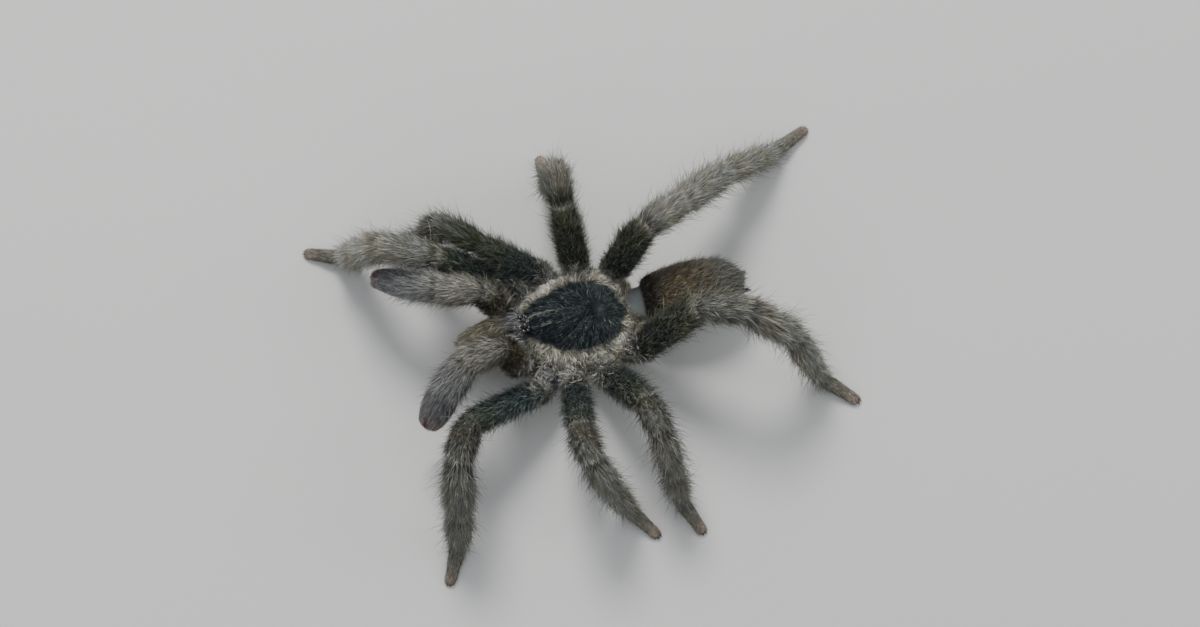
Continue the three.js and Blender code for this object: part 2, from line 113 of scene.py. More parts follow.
# ------------------------------------------------- camera, lights and floor
def aim(azimuth, elevation):
    a, e = math.radians(azimuth), math.radians(elevation)
    back = Vector((math.sin(a) * math.cos(e), -math.cos(a) * math.cos(e), math.sin(e)))
    right = (-back).cross(Vector((0, 0, 1))).normalized()
    return back, right, right.cross(-back)


back, right, over = aim(75.0, 68.0)
target = Vector((0, 0, 0.008)) + right * 0.0045 - Vector(CENTRE) * 0.001
camera = bpy.data.objects.new("camera", bpy.data.cameras.new("camera"))
camera.data.sensor_width = 36.0
camera.data.lens = 81.0
camera.data.clip_start = 0.01
camera.data.clip_end = 20.0
camera.matrix_world = Matrix((
    (right.x, over.x, back.x, target.x + back.x * 0.42),
    (right.y, over.y, back.y, target.y + back.y * 0.42),
    (right.z, over.z, back.z, target.z + back.z * 0.42),
    (0, 0, 0, 1)))
bpy.context.scene.collection.objects.link(camera)
bpy.context.scene.camera = camera


def lamp(name, place, size, power, colour=(1, 1, 1)):
    data = bpy.data.lights.new(name, "AREA")
    data.shape, data.size, data.energy, data.color = "DISK", size, power, colour
    o = bpy.data.objects.new(name, data)
    o.location = place
    o.rotation_euler = (-Vector(place)).to_track_quat("-Z", "Y").to_euler()
    bpy.context.scene.collection.objects.link(o)
    return o


lamp("key", (-0.56, 0.0, 0.62), 0.32, 4.8, (1.0, 0.985, 0.96))
lamp("fill", (0.6, -0.45, 0.55), 0.7, 1.0, (0.94, 0.97, 1.0))
lamp("rim", (0.1, 0.85, 0.45), 0.6, 1.1, (0.97, 0.98, 1.0))
world = bpy.data.worlds.new("studio")
bpy.context.scene.world = world
world.use_nodes = True
world.node_tree.nodes["Background"].inputs["Color"].default_value = (0.93, 0.96, 1.0, 1)
world.node_tree.nodes["Background"].inputs["Strength"].default_value = 0.46


# ---------------------------------------------------------- mesh and nodes
def build_mesh(name, verts, faces, colours=None, uv=None, floats=None, shade=True):
    """An object from arrays in millimetres. faces is (n, 3) or (n, 4)."""
    me = bpy.data.meshes.new(name)
    verts = (np.asarray(verts, float) - CENTRE) * 0.001
    faces = np.asarray(faces, np.int32)
    m, k = faces.shape
    me.vertices.add(len(verts))
    me.vertices.foreach_set("co", verts.astype(np.float32).ravel())
    me.loops.add(m * k)
    me.loops.foreach_set("vertex_index", faces.ravel())
    me.polygons.add(m)
    me.polygons.foreach_set("loop_start", np.arange(m, dtype=np.int32) * k)
    me.polygons.foreach_set("loop_total", np.full(m, k, np.int32))
    me.polygons.foreach_set("use_smooth", np.full(m, shade, bool))
    if uv is not None:
        layer = me.uv_layers.new(name="OFBake")
        layer.uv.foreach_set("vector", uv.astype(np.float32).ravel())
    me.update(calc_edges=True)
    if colours is not None:
        a = me.color_attributes.new(name="tone", type="FLOAT_COLOR", domain="POINT")
        rgba = np.ones((len(verts), 4), np.float32)
        rgba[:, :3] = colours
        a.data.foreach_set("color", rgba.ravel())
    for key, values in (floats or {}).items():
        a = me.attributes.new(name=key, type="FLOAT", domain="POINT")
        a.data.foreach_set("value", values.astype(np.float32))
    o = bpy.data.objects.new(name, me)
    bpy.context.scene.collection.objects.link(o)
    return o


class Nodes:
    """A short way to write a material's node tree."""

    def __init__(self, name):
        self.mat = bpy.data.materials.new(name)
        self.mat.use_nodes = True
        self.tree = self.mat.node_tree
        self.shader = self.tree.nodes["Principled BSDF"]

    def add(self, kind, values=None, **settings):
        n = self.tree.nodes.new(kind)
        for key, value in settings.items():
            setattr(n, key, value)
        for key, value in (values or {}).items():
            if isinstance(value, bpy.types.NodeSocket):
                self.tree.links.new(value, n.inputs[key])
            else:
                n.inputs[key].default_value = value
        return n

    def noise(self, scale, detail=3.0, rough=0.55):
        where = self.add("ShaderNodeTexCoord")
        return self.add("ShaderNodeTexNoise", {"Vector": where.outputs["Object"], "Scale": scale, "Detail": detail, "Roughness": rough})

    def ramp(self, factor, stops):
        n = self.add("ShaderNodeValToRGB", {"Fac": factor})
        r = n.color_ramp
        while len(r.elements) < len(stops):
            r.elements.new(0.5)
        for e, (at, c) in zip(r.elements, stops):
            e.position = at
            e.color = (*c, 1) if len(c) == 3 else c
        return n.outputs["Color"]

    def blend(self, kind, factor, a, b):
        n = self.add("ShaderNodeMix", data_type="RGBA", blend_type=kind)
        for i, value in ((0, factor), (6, a), (7, b)):
            if isinstance(value, bpy.types.NodeSocket):
                self.tree.links.new(value, n.inputs[i])
            elif i:
                n.inputs[i].default_value = (*value, 1)
            else:
                n.inputs[i].default_value = value
        return n.outputs[2]

    def set(self, **values):
        for key, value in values.items():
            socket = self.shader.inputs[key.replace("_", " ")]
            if isinstance(value, bpy.types.NodeSocket):
                self.tree.links.new(value, socket)
            else:
                socket.default_value = value
        return self

    def bump(self, height, strength, distance):
        n = self.add("ShaderNodeBump", {"Height": height, "Strength": strength, "Distance": distance})
        self.tree.links.new(n.outputs["Normal"], self.shader.inputs["Normal"])
        return self


def hair_material(name, roughness, specular, sheen, metallic=0.0):
    n = Nodes(name)
    tone = n.add("ShaderNodeAttribute", attribute_name="tone").outputs["Color"]
    cloud = n.noise(900.0, 2.0).outputs["Fac"]
    shade = n.ramp(cloud, [(0.3, (0.78, 0.78, 0.78)), (0.7, (1.18, 1.18, 1.18))])
    n.set(Base_Color=n.blend("MULTIPLY", 1.0, tone, shade), Roughness=roughness, Specular_IOR_Level=specular,
          Sheen_Weight=sheen, Sheen_Roughness=0.5, Metallic=metallic)
    return n.mat


FLOOR = Nodes("studio_floor")
grain = FLOOR.noise(6.0, 4.0).outputs["Fac"]
near = FLOOR.ramp(grain, [(0.3, (0.79, 0.785, 0.77)), (0.7, (0.82, 0.815, 0.8))])
where = FLOOR.add("ShaderNodeTexCoord")
away = FLOOR.add("ShaderNodeVectorMath", {0: where.outputs["Object"]}, operation="LENGTH").outputs["Value"]
# painted light: the floor's colour turns paler further from the middle, where less lamp light reaches it
far = FLOOR.ramp(away, [(0.3, (0, 0, 0)), (0.95, (1, 1, 1))])
FLOOR.set(Base_Color=FLOOR.blend("MIX", far, near, (0.95, 0.96, 0.96)), Roughness=0.85, Specular_IOR_Level=0.2)
floor_mesh = bpy.data.meshes.new("floor")
floor_mesh.from_pydata([(-3, -3, 0), (3, -3, 0), (3, 3, 0), (-3, 3, 0)], [], [(0, 1, 2, 3)])
floor = bpy.data.objects.new("floor", floor_mesh)
floor.data.materials.append(FLOOR.mat)
bpy.context.scene.collection.objects.link(floor)


# ------------------------------------------------------------------- limbs
def limb_points(limb):
    kind, inner, hip, length, yaw, pitch = limb
    points = [np.array(inner, float), np.array(hip, float)]
    for i, l in enumerate(length):
        p = math.radians(pitch[i]) if i < len(pitch) else 0.0
        z = points[-1][2]
        if not kind.startswith("palp") and i == 3:
            p = -math.asin((z - ANKLE) / l)
        if not kind.startswith("palp") and i == 4:
            p = -math.asin((ANKLE - TOE) / l)
        y = math.radians(yaw[i])
        points.append(points[-1] + l * np.array([math.cos(p) * math.cos(y), math.cos(p) * math.sin(y), math.sin(p)]))
    return np.array(points)


def stations(points, arc=5, straight=8):
    """Place, direction, segment and share of it, along a limb's filleted axis."""
    n = len(points) - 1
    d = [unit(points[k + 1] - points[k]) for k in range(n)]
    trim, angle = [0.0], [0.0]
    for k in range(1, n):
        a = math.acos(float(np.clip(d[k - 1] @ d[k], -1, 1)))
        room = 0.42 * min(np.linalg.norm(points[k] - points[k - 1]), np.linalg.norm(points[k + 1] - points[k]))
        trim.append(min(FILLET * math.tan(a / 2), room))
        angle.append(a)
    trim.append(0.0)
    angle.append(0.0)

    def bend(k, share):
        r = trim[k] / math.tan(angle[k] / 2)
        start = points[k] - d[k - 1] * trim[k]
        across = unit(d[k] - d[k - 1] * (d[k] @ d[k - 1]))
        a = angle[k] * share
        return start + d[k - 1] * r * math.sin(a) + across * r * (1 - math.cos(a)), d[k - 1] * math.cos(a) + across * math.sin(a)

    P, T, K, U = [], [], [], []
    for k in range(n):
        run = []
        if k > 0:
            run += [bend(k, 0.5 + 0.5 * i / arc) for i in range(arc)]
        a, b = points[k] + d[k] * trim[k], points[k + 1] - d[k] * trim[k + 1]
        run += [(a + (b - a) * i / straight, d[k]) for i in range(straight + 1)]
        if k < n - 1:
            run += [bend(k + 1, 0.5 * i / arc) for i in range(1, arc + 1)]
        p = np.array([r[0] for r in run])
        run_length = np.concatenate([[0], np.cumsum(np.linalg.norm(np.diff(p, axis=0), axis=1))])
        keep = slice(0 if k == 0 else 1, None)
        P.append(p[keep]); T.append(np.array([r[1] for r in run])[keep])
        U.append((run_length / run_length[-1])[keep]); K.append(np.full(len(run), k)[keep])
    return np.concatenate(P), unit(np.concatenate(T)), np.concatenate(K), np.concatenate(U)


def girth(kind, k, u):
    table = GIRTH[kind]
    last = len(table) - 1

    def waist(j):
        if j == 0:
            return 0.66 * np.array(table[0])
        if j > last:
            return 0.8 * np.array(table[last])
        club = 1.08 if kind.startswith("palp") and j == last else 1.0
        return WAIST * club * 0.5 * (np.array(table[j - 1]) + np.array(table[j]))

    a, b = waist(k), waist(k + 1)
    swell = max(0.0, math.sin(math.pi * min(1.0, max(0.0, u)))) ** 0.6
    return a + (b - a) * u + (np.array(table[k]) - 0.5 * (a + b)) * swell


def coat_depth(kind, k, u):
    d = COAT_DEPTH[kind]
    k2 = k - 1 if u < 0.5 else k + 1
    share = abs(u - 0.5) ** 2 * 2
    other = d[min(max(k2, 0), len(d) - 1)]
    return d[k] * (1 - share) + other * share


class Tube:
    """A part of the body about an axis: stations with two half-widths."""

    def __init__(self, name, P, T, K, U, A, B):
        self.name, self.P, self.T, self.K, self.U, self.A, self.B = name, P, T, K, U, A, B
        self.top = unit(UP - T * T[:, 2:3])
        self.side = np.cross(T, self.top)
        run = np.concatenate([[0], np.cumsum(np.linalg.norm(np.diff(P, axis=0), axis=1))])
        self.run, self.length = run, run[-1]

    def rings(self, sides):
        a = np.arange(sides) * 2 * math.pi / sides
        return (self.P[:, None] + self.side[:, None] * (self.A[:, None] * np.cos(a))[..., None]
                + self.top[:, None] * (self.B[:, None] * np.sin(a))[..., None])

    def nearest(self, v):
        """For points v: the best station, a place along and around, and how far off the surface."""
        best = np.full(len(v), 1e9); idx = np.zeros(len(v), int); phi = np.zeros(len(v)); run = np.zeros(len(v))
        step = max(1, 400000 // max(1, len(self.P)))
        for i in range(0, len(v), step):
            d = v[i:i + step, None] - self.P[None]
            along = np.einsum("ijk,jk->ij", d, self.T)
            s = np.einsum("ijk,jk->ij", d, self.side)
            t = np.einsum("ijk,jk->ij", d, self.top)
            radial = np.sqrt((s / self.A) ** 2 + (t / self.B) ** 2)
            off = np.abs(radial - 1) * 0.5 * (self.A + self.B)
            cost = np.hypot(off, along * 0.8)
            j = cost.argmin(1); r = np.arange(len(j))
            best[i:i + step] = cost[r, j]; idx[i:i + step] = j
            phi[i:i + step] = np.arctan2(t[r, j], s[r, j])
            run[i:i + step] = self.run[j] + np.clip(along[r, j], -1, 1)
        return best, idx, phi, run


def loft_faces(n, sides, base):
    i, j = np.meshgrid(np.arange(n - 1), np.arange(sides), indexing="ij")
    k = (j + 1) % sides
    return (base + np.stack([i * sides + j, i * sides + k, (i + 1) * sides + k, (i + 1) * sides + j], -1)).reshape(-1, 4)


def closed_loft(rings):
    """Quads through rings, the ends drawn in to a small ring and closed by a face."""
    n, sides, _ = rings.shape
    v = rings.reshape(-1, 3)
    f = loft_faces(n, sides, 0).tolist()
    f.append(list(range(sides))[::-1])
    f.append([(n - 1) * sides + j for j in range(sides)])
    return v, f


TUBES = {}
for name, limb in LIMBS.items():
    kind = limb[0]
    P, T, K, U = stations(limb_points(limb))
    G = np.array([girth(kind, k, u) - coat_depth(kind, k, u) for k, u in zip(K, U)])
    if kind.startswith("palp"):             # a full, blunt tip
        tail = [0.35, 0.75, 1.0]
        size = [0.93, 0.72, 0.4]
    else:
        tail = [0.2, 0.38, 0.5]
        size = [0.9, 0.66, 0.36]
    P = np.concatenate([P, [P[-1] + T[-1] * s for s in tail]])
    G = np.concatenate([G, [G[-1] * s for s in size]])
    K, U = np.concatenate([K, [K[-1]] * 3]), np.concatenate([U, [1.0] * 3])
    T = np.concatenate([T, [T[-1]] * 3])
    TUBES[name] = Tube(name, P, T, K, U, G[:, 0], G[:, 1])


def spine(name, rows):
    """A tube from rows of x, y, z, half-width and half-height."""
    rows = np.array(rows, float)
    n = 40
    at = np.concatenate([[0], np.cumsum(np.linalg.norm(np.diff(rows[:, :3], axis=0), axis=1))])
    s = np.linspace(0, at[-1], n)
    fine = np.stack([np.interp(s, at, rows[:, i]) for i in range(5)], 1)
    for _ in range(3):
        fine[1:-1] = 0.25 * fine[:-2] + 0.5 * fine[1:-1] + 0.25 * fine[2:]
    T = unit(np.gradient(fine[:, :3], axis=0))
    TUBES[name] = Tube(name, fine[:, :3], T, np.zeros(n, int), s / s[-1], fine[:, 3], fine[:, 4])


ab = dict(front=11.0, rear=27.1, x=0.4, z=6.0, a=4.75 - 0.45, b=4.25 - 0.45)
profile = [[0.0, 0.4, -0.1], [0.02, 0.58, -0.1], [0.06, 0.77, 0], [0.13, 0.88, 0], [0.26, 0.96, 0], [0.42, 1, 0],
           [0.57, 0.99, 0], [0.71, 0.93, 0], [0.83, 0.8, 0], [0.92, 0.6, 0.1], [0.97, 0.4, 0.13], [0.99, 0.22, 0.15]]
spine("abdomen", [[BODY_X + (ab["x"] - BODY_X) * min(1, u * 4), ab["front"] + (ab["rear"] - ab["front"]) * u, ab["z"] + dz, ab["a"] * r, ab["b"] * r] for u, r, dz in profile])
spine("pedicel", [[BODY_X, 7.8, 4.9, 2.3, 0.8], [BODY_X, 9.0, 5.0, 2.5, 1.0], [BODY_X, 9.8, 5.3, 2.7, 1.45], [BODY_X, 10.8, 5.6, 2.75, 1.8], [BODY_X, 12.4, 5.7, 2.9, 2.05]])
for side, s in (("left", 1), ("right", -1)):
    rows = [[0, 0.78, 6.3], [0.12, 0.92, 6.35], [0.32, 1, 6.3], [0.55, 0.99, 5.9], [0.76, 0.9, 5.2], [0.92, 0.7, 4.4], [1, 0.42, 3.95], [1.015, 0.2, 3.8]]
    spine("chelicera_" + side, [[BODY_X + s * (1.8 - 0.12 * u), -7.4 - 10.0 * u, z, 1.48 * r, 1.83 * r] for u, r, z in rows])
    x = 0.4 + s * 1.05
    spine("spinneret_" + side, [[x, 24.6, 4.7, 0.6, 0.6], [x, 25.6, 4.45, 0.58, 0.58], [x + s * 0.2, 26.9, 4.1, 0.5, 0.5], [x + s * 0.42, 28.1, 4.3, 0.38, 0.38], [x + s * 0.45, 28.4, 4.35, 0.2, 0.2]])


# ---------------------------------------------------------------- carapace
def plan_share(x, y):
    """0 at the middle of the carapace and 1 at its edge, and the plan's angle."""
    v = (y - 0.3) / 9.15
    u = (x - BODY_X) / (7.6 * (1 + 0.17 * v))
    t = (np.abs(u) ** 2.35 + np.abs(v) ** 2.35) ** (1 / 2.35)
    return t, np.arctan2(v, u)


def plan_point(a, t):
    s, c = np.sin(a), np.cos(a)
    v = t * np.sign(s) * np.abs(s) ** (2 / 2.35)
    u = t * np.sign(c) * np.abs(c) ** (2 / 2.35)
    return BODY_X + 7.6 * u * (1 + 0.17 * v), 0.3 + 9.15 * v


def carapace_z(x, y, t):
    x = x - BODY_X
    front = np.exp(-((x / 4.2) ** 2) - ((y + 8.5) / 4) ** 2)
    dome = np.maximum(0, 1 - t ** (2.5 + 4 * front)) ** 0.8
    z = 5.1 + 3.9 * dome
    z = z + 0.8 * dome * np.exp(-((x / 3.3) ** 2) - ((y + 4.9) / 3.9) ** 2)
    z = z - 0.5 * np.exp(-((x / 1.3) ** 2) - ((y - 4.2) / 0.9) ** 2)
    # grooves that part the raised head from the thorax, and run out to the legs
    r = np.hypot(x, y - 4.2)
    a = np.degrees(np.arctan2(np.abs(x), -(y - 4.2)))
    for angle, deep in ((31, 0.34), (66, 0.2), (97, 0.2), (132, 0.18)):
        z = z - deep * np.exp(-((a - angle) / (5 + 18 / (r + 1))) ** 2) * smooth(r, 0.5, 2.5) * (1 - smooth(t, 0.7, 0.95))
    return z


def carapace_shell():
    a = np.arange(80) * 2 * math.pi / 80
    rings = []
    for t in np.concatenate([np.linspace(0.03, 0.8, 22), [0.84, 0.88, 0.91, 0.94, 0.965, 0.985]]):
        x, y = plan_point(a, t)
        rings.append(np.stack([x, y, carapace_z(x, y, np.full_like(x, t)) - 0.12], 1))
    for t, z in ((0.985, 4.98), (0.95, 4.72), (0.5, 4.66)):
        x, y = plan_point(a, t)
        rings.append(np.stack([x, y, np.full_like(a, z)], 1))
    return np.array(rings)


def blob(centre, size, sides=24, layers=14):
    a = np.arange(sides) * 2 * math.pi / sides
    h = np.linspace(-0.48, 0.48, layers) * math.pi
    return np.array([np.stack([centre[0] + size[0] * math.cos(b) * np.cos(a), centre[1] + size[1] * math.cos(b) * np.sin(a),
                               np.full_like(a, centre[2] + size[2] * math.sin(b))], 1) for b in h])


# ------------------------------------------------------- fusing shapes to one
def relax(V, F, times, amount):
    e = np.concatenate([F[:, [0, 1]], F[:, [1, 2]], F[:, [2, 3]], F[:, [3, 0]]])
    count = np.bincount(e.ravel(), minlength=len(V)).astype(float)
    for _ in range(times):
        s = np.stack([np.bincount(e[:, 0], V[e[:, 1], i], len(V)) + np.bincount(e[:, 1], V[e[:, 0], i], len(V)) for i in range(3)], 1)
        V = V + amount * (s / count[:, None] - V)
    return V


def normals_of(V, F):
    n = np.cross(V[F[:, 2]] - V[F[:, 0]], V[F[:, 3]] - V[F[:, 1]])
    out = np.stack([np.bincount(F.ravel(), np.repeat(n[:, i], 4), len(V)) for i in range(3)], 1)
    return unit(out)


class Surface:
    """One closed surface through several overlapping closed lofts."""

    def __init__(self, shapes, voxel, times):
        verts, faces, base = [], [], 0
        for rings in shapes:
            v, f = closed_loft(rings)
            verts.append(v)
            faces += [[base + i for i in q] for q in f]
            base += len(v)
        me = bpy.data.meshes.new("rough")
        me.from_pydata(np.concatenate(verts).tolist(), [], faces)
        me.update()
        o = bpy.data.objects.new("rough", me)
        bpy.context.scene.collection.objects.link(o)
        remesh = o.modifiers.new("remesh", "REMESH")
        remesh.mode = "VOXEL"
        remesh.voxel_size = voxel
        done = o.evaluated_get(bpy.context.evaluated_depsgraph_get()).to_mesh()
        V = np.empty(len(done.vertices) * 3, np.float32)
        done.vertices.foreach_get("co", V)
        F = np.empty(len(done.polygons) * 4, np.int32)
        done.loops.foreach_get("vertex_index", F)
        V, self.F = V.reshape(-1, 3).astype(float), F.reshape(-1, 4)
        o.to_mesh_clear()
        bpy.data.objects.remove(o)
        bpy.data.meshes.remove(me)
        self.V = relax(V, self.F, times, 0.55)
        self.V[:, 2] = np.maximum(self.V[:, 2], 0.03)
        self.N = normals_of(self.V, self.F)
        self.tri = np.concatenate([self.F[:, [0, 1, 2]], self.F[:, [0, 2, 3]]])
        a, b, c = (self.V[self.tri[:, i]] for i in range(3))
        self.area = 0.5 * np.linalg.norm(np.cross(b - a, c - a), axis=1)


# -------------------------------------------------------------- the one skin
shapes = [t.rings(20) for t in TUBES.values()]
shapes += [blob((BODY_X, -0.2, 3.4), (2.9, 5.9, 1.55)), blob((BODY_X, 0.3, 5.0), (6.3, 8.3, 2.4))]
for side in ("left", "right"):                       # a palp ends in two lobes
    tube = TUBES["palp_" + side]
    e, w = tube.P[-4], tube.A[-6]
    for s in (1, -1):
        shapes.append(blob(e + tube.side[-1] * s * 0.42 * w - tube.T[-1] * 0.1, (0.95, 0.95, 0.9)))
SKIN = Surface(shapes, 0.26, 2)
PLATE = Surface([carapace_shell(), blob((BODY_X, EYE_Y, EYE_Z - 0.04), (1.45, 1.05, 1.0))], 0.15, 2)

NAMES = list(TUBES) + ["carapace", "sternum"]
PART = {n: i for i, n in enumerate(NAMES)}


def classify(V):
    """The part of the skin that each point lies on, and its place on that part."""
    cost = np.full(len(V), 1e9); part = np.full(len(V), PART["sternum"]); idx = np.zeros(len(V), int)
    phi = np.zeros(len(V)); run = np.zeros(len(V))
    for name, tube in TUBES.items():
        reach = max(tube.A.max(), tube.B.max()) + 1.0
        w = np.flatnonzero(((V > tube.P.min(0) - reach) & (V < tube.P.max(0) + reach)).all(1))
        if not len(w):
            continue
        c, j, p, r = tube.nearest(V[w])
        if name == "pedicel":
            c = c + 0.15
        better = c < cost[w]
        k = w[better]
        cost[k] = c[better]; part[k] = PART[name]; idx[k] = j[better]; phi[k] = p[better]; run[k] = r[better]
    s = np.sqrt(((V[:, 0] - BODY_X) / 2.9) ** 2 + ((V[:, 1] + 0.2) / 5.9) ** 2 + ((V[:, 2] - 3.4) / 1.55) ** 2)
    c = np.where(V[:, 2] < 4.2, np.abs(s - 1) * 2.2, 1.2)
    better = c < cost
    cost[better] = c[better]; part[better] = PART["sternum"]
    w = part == PART["sternum"]
    phi[w] = np.arctan2(V[w, 1] + 0.2, V[w, 0] - BODY_X); run[w] = s[w]
    return part, idx, phi, run


# --------------------------------------------------------------- markings
C = {
    "femur": srgb(47, 59, 60), "femur_olive": srgb(54, 57, 45), "femur_knee": srgb(80, 84, 58), "leg": srgb(140, 140, 132), "leg_warm": srgb(135, 130, 115),
    "leg_grey": srgb(130, 134, 134), "toe": srgb(142, 138, 125), "pink": srgb(166, 142, 131), "ring": srgb(182, 177, 163),
    "cream": srgb(192, 185, 165), "coxa": srgb(86, 89, 97), "shell": srgb(14, 21, 26), "shell_hair": srgb(25, 36, 46),
    "shell_pale": srgb(100, 110, 106), "abdomen": srgb(102, 92, 72), "abdomen_front": srgb(40, 32, 27),
    "abdomen_rear": srgb(78, 80, 76), "bald": srgb(122, 127, 130), "jaw": srgb(190, 180, 154), "jaw_base": srgb(150, 151, 154),
    "under": srgb(66, 60, 51), "palp": srgb(132, 133, 133), "palp_warm": srgb(152, 149, 140), "palp_femur": srgb(74, 65, 52),
    "white": srgb(190, 191, 189), "frost": srgb(134, 143, 140),
    "gold": srgb(158, 154, 124), "palp_tip": srgb(160, 137, 129), "palp_split": srgb(88, 60, 56),
}
# Painted light and shade: each limb's pale segments are made darker or lighter as the light falls on that limb, and
# leg_right_2 is kept darkest, as a limb in shadow.
LIMB_LIGHT_AND_SHADE = {"leg_left_1": 0.56, "leg_left_2": 0.68, "leg_left_3": 0.63, "leg_left_4": 0.86, "palp_left": 0.8, "palp_right": 0.95,
        "leg_right_1": 1.15, "leg_right_2": 0.5, "leg_right_3": 0.7}
# Share of golden hairs among the pale ones that stand out of the dark femur.
GOLDEN = {"leg_left_1": 0.12, "leg_left_2": 0.12, "leg_left_3": 0.2, "leg_left_4": 0.55, "leg_right_1": 0.15, "leg_right_2": 0.4,
          "leg_right_3": 0.6, "leg_right_4": 0.4, "palp_left": 0.7, "palp_right": 0.7}


def wave(V, seed, scale):
    """Smooth noise from a few sines, about -1 to 1."""
    r = np.random.default_rng(seed)
    out = np.zeros(len(V))
    for _ in range(5):
        k = unit(r.normal(size=3)) * scale * r.uniform(0.6, 1.7)
        out += np.sin(V @ k + r.uniform(0, 6.28))
    return out / 2.6


def fringe_of(t, phi):
    """1 in the cream border of the carapace, ragged and widest at the sides."""
    start = 0.67 + np.where(np.sin(phi) > 0, 0.11, 0.2) * np.abs(np.sin(phi)) ** 3
    start = start + 0.018 * np.sin(13 * phi + 1) + 0.014 * np.sin(23 * phi + 2) + 0.01 * np.sin(41 * phi)
    start = start - 0.07 * np.exp(-((np.abs(phi) - 2.6) / 0.7) ** 2) - 0.1 * np.exp(-((phi + 0.95) / 0.4) ** 2)
    return smooth(t, start, start + 0.13)


def rays(x, y):
    """Pale streaks that run out from the pit of the carapace."""
    x = x - BODY_X
    r = np.hypot(x, y - FOVEA[1])
    a = np.arctan2(x, -(y - FOVEA[1]))
    one = 0.5 + 0.5 * np.sin(a * 31 + 2.2 * np.sin(a * 5) + r * 0.45)
    two = 0.5 + 0.5 * np.sin(a * 53 + 1.7 * np.sin(a * 9 + 1) - r * 0.3)
    return (one * two) ** 1.4 * smooth(r, 0.4, 2.5)


def eye_mound(V):
    return np.sqrt(((V[:, 0] - BODY_X) / 1.45) ** 2 + ((V[:, 1] - EYE_Y) / 1.05) ** 2 + ((V[:, 2] - EYE_Z + 0.04) / 1.0) ** 2)


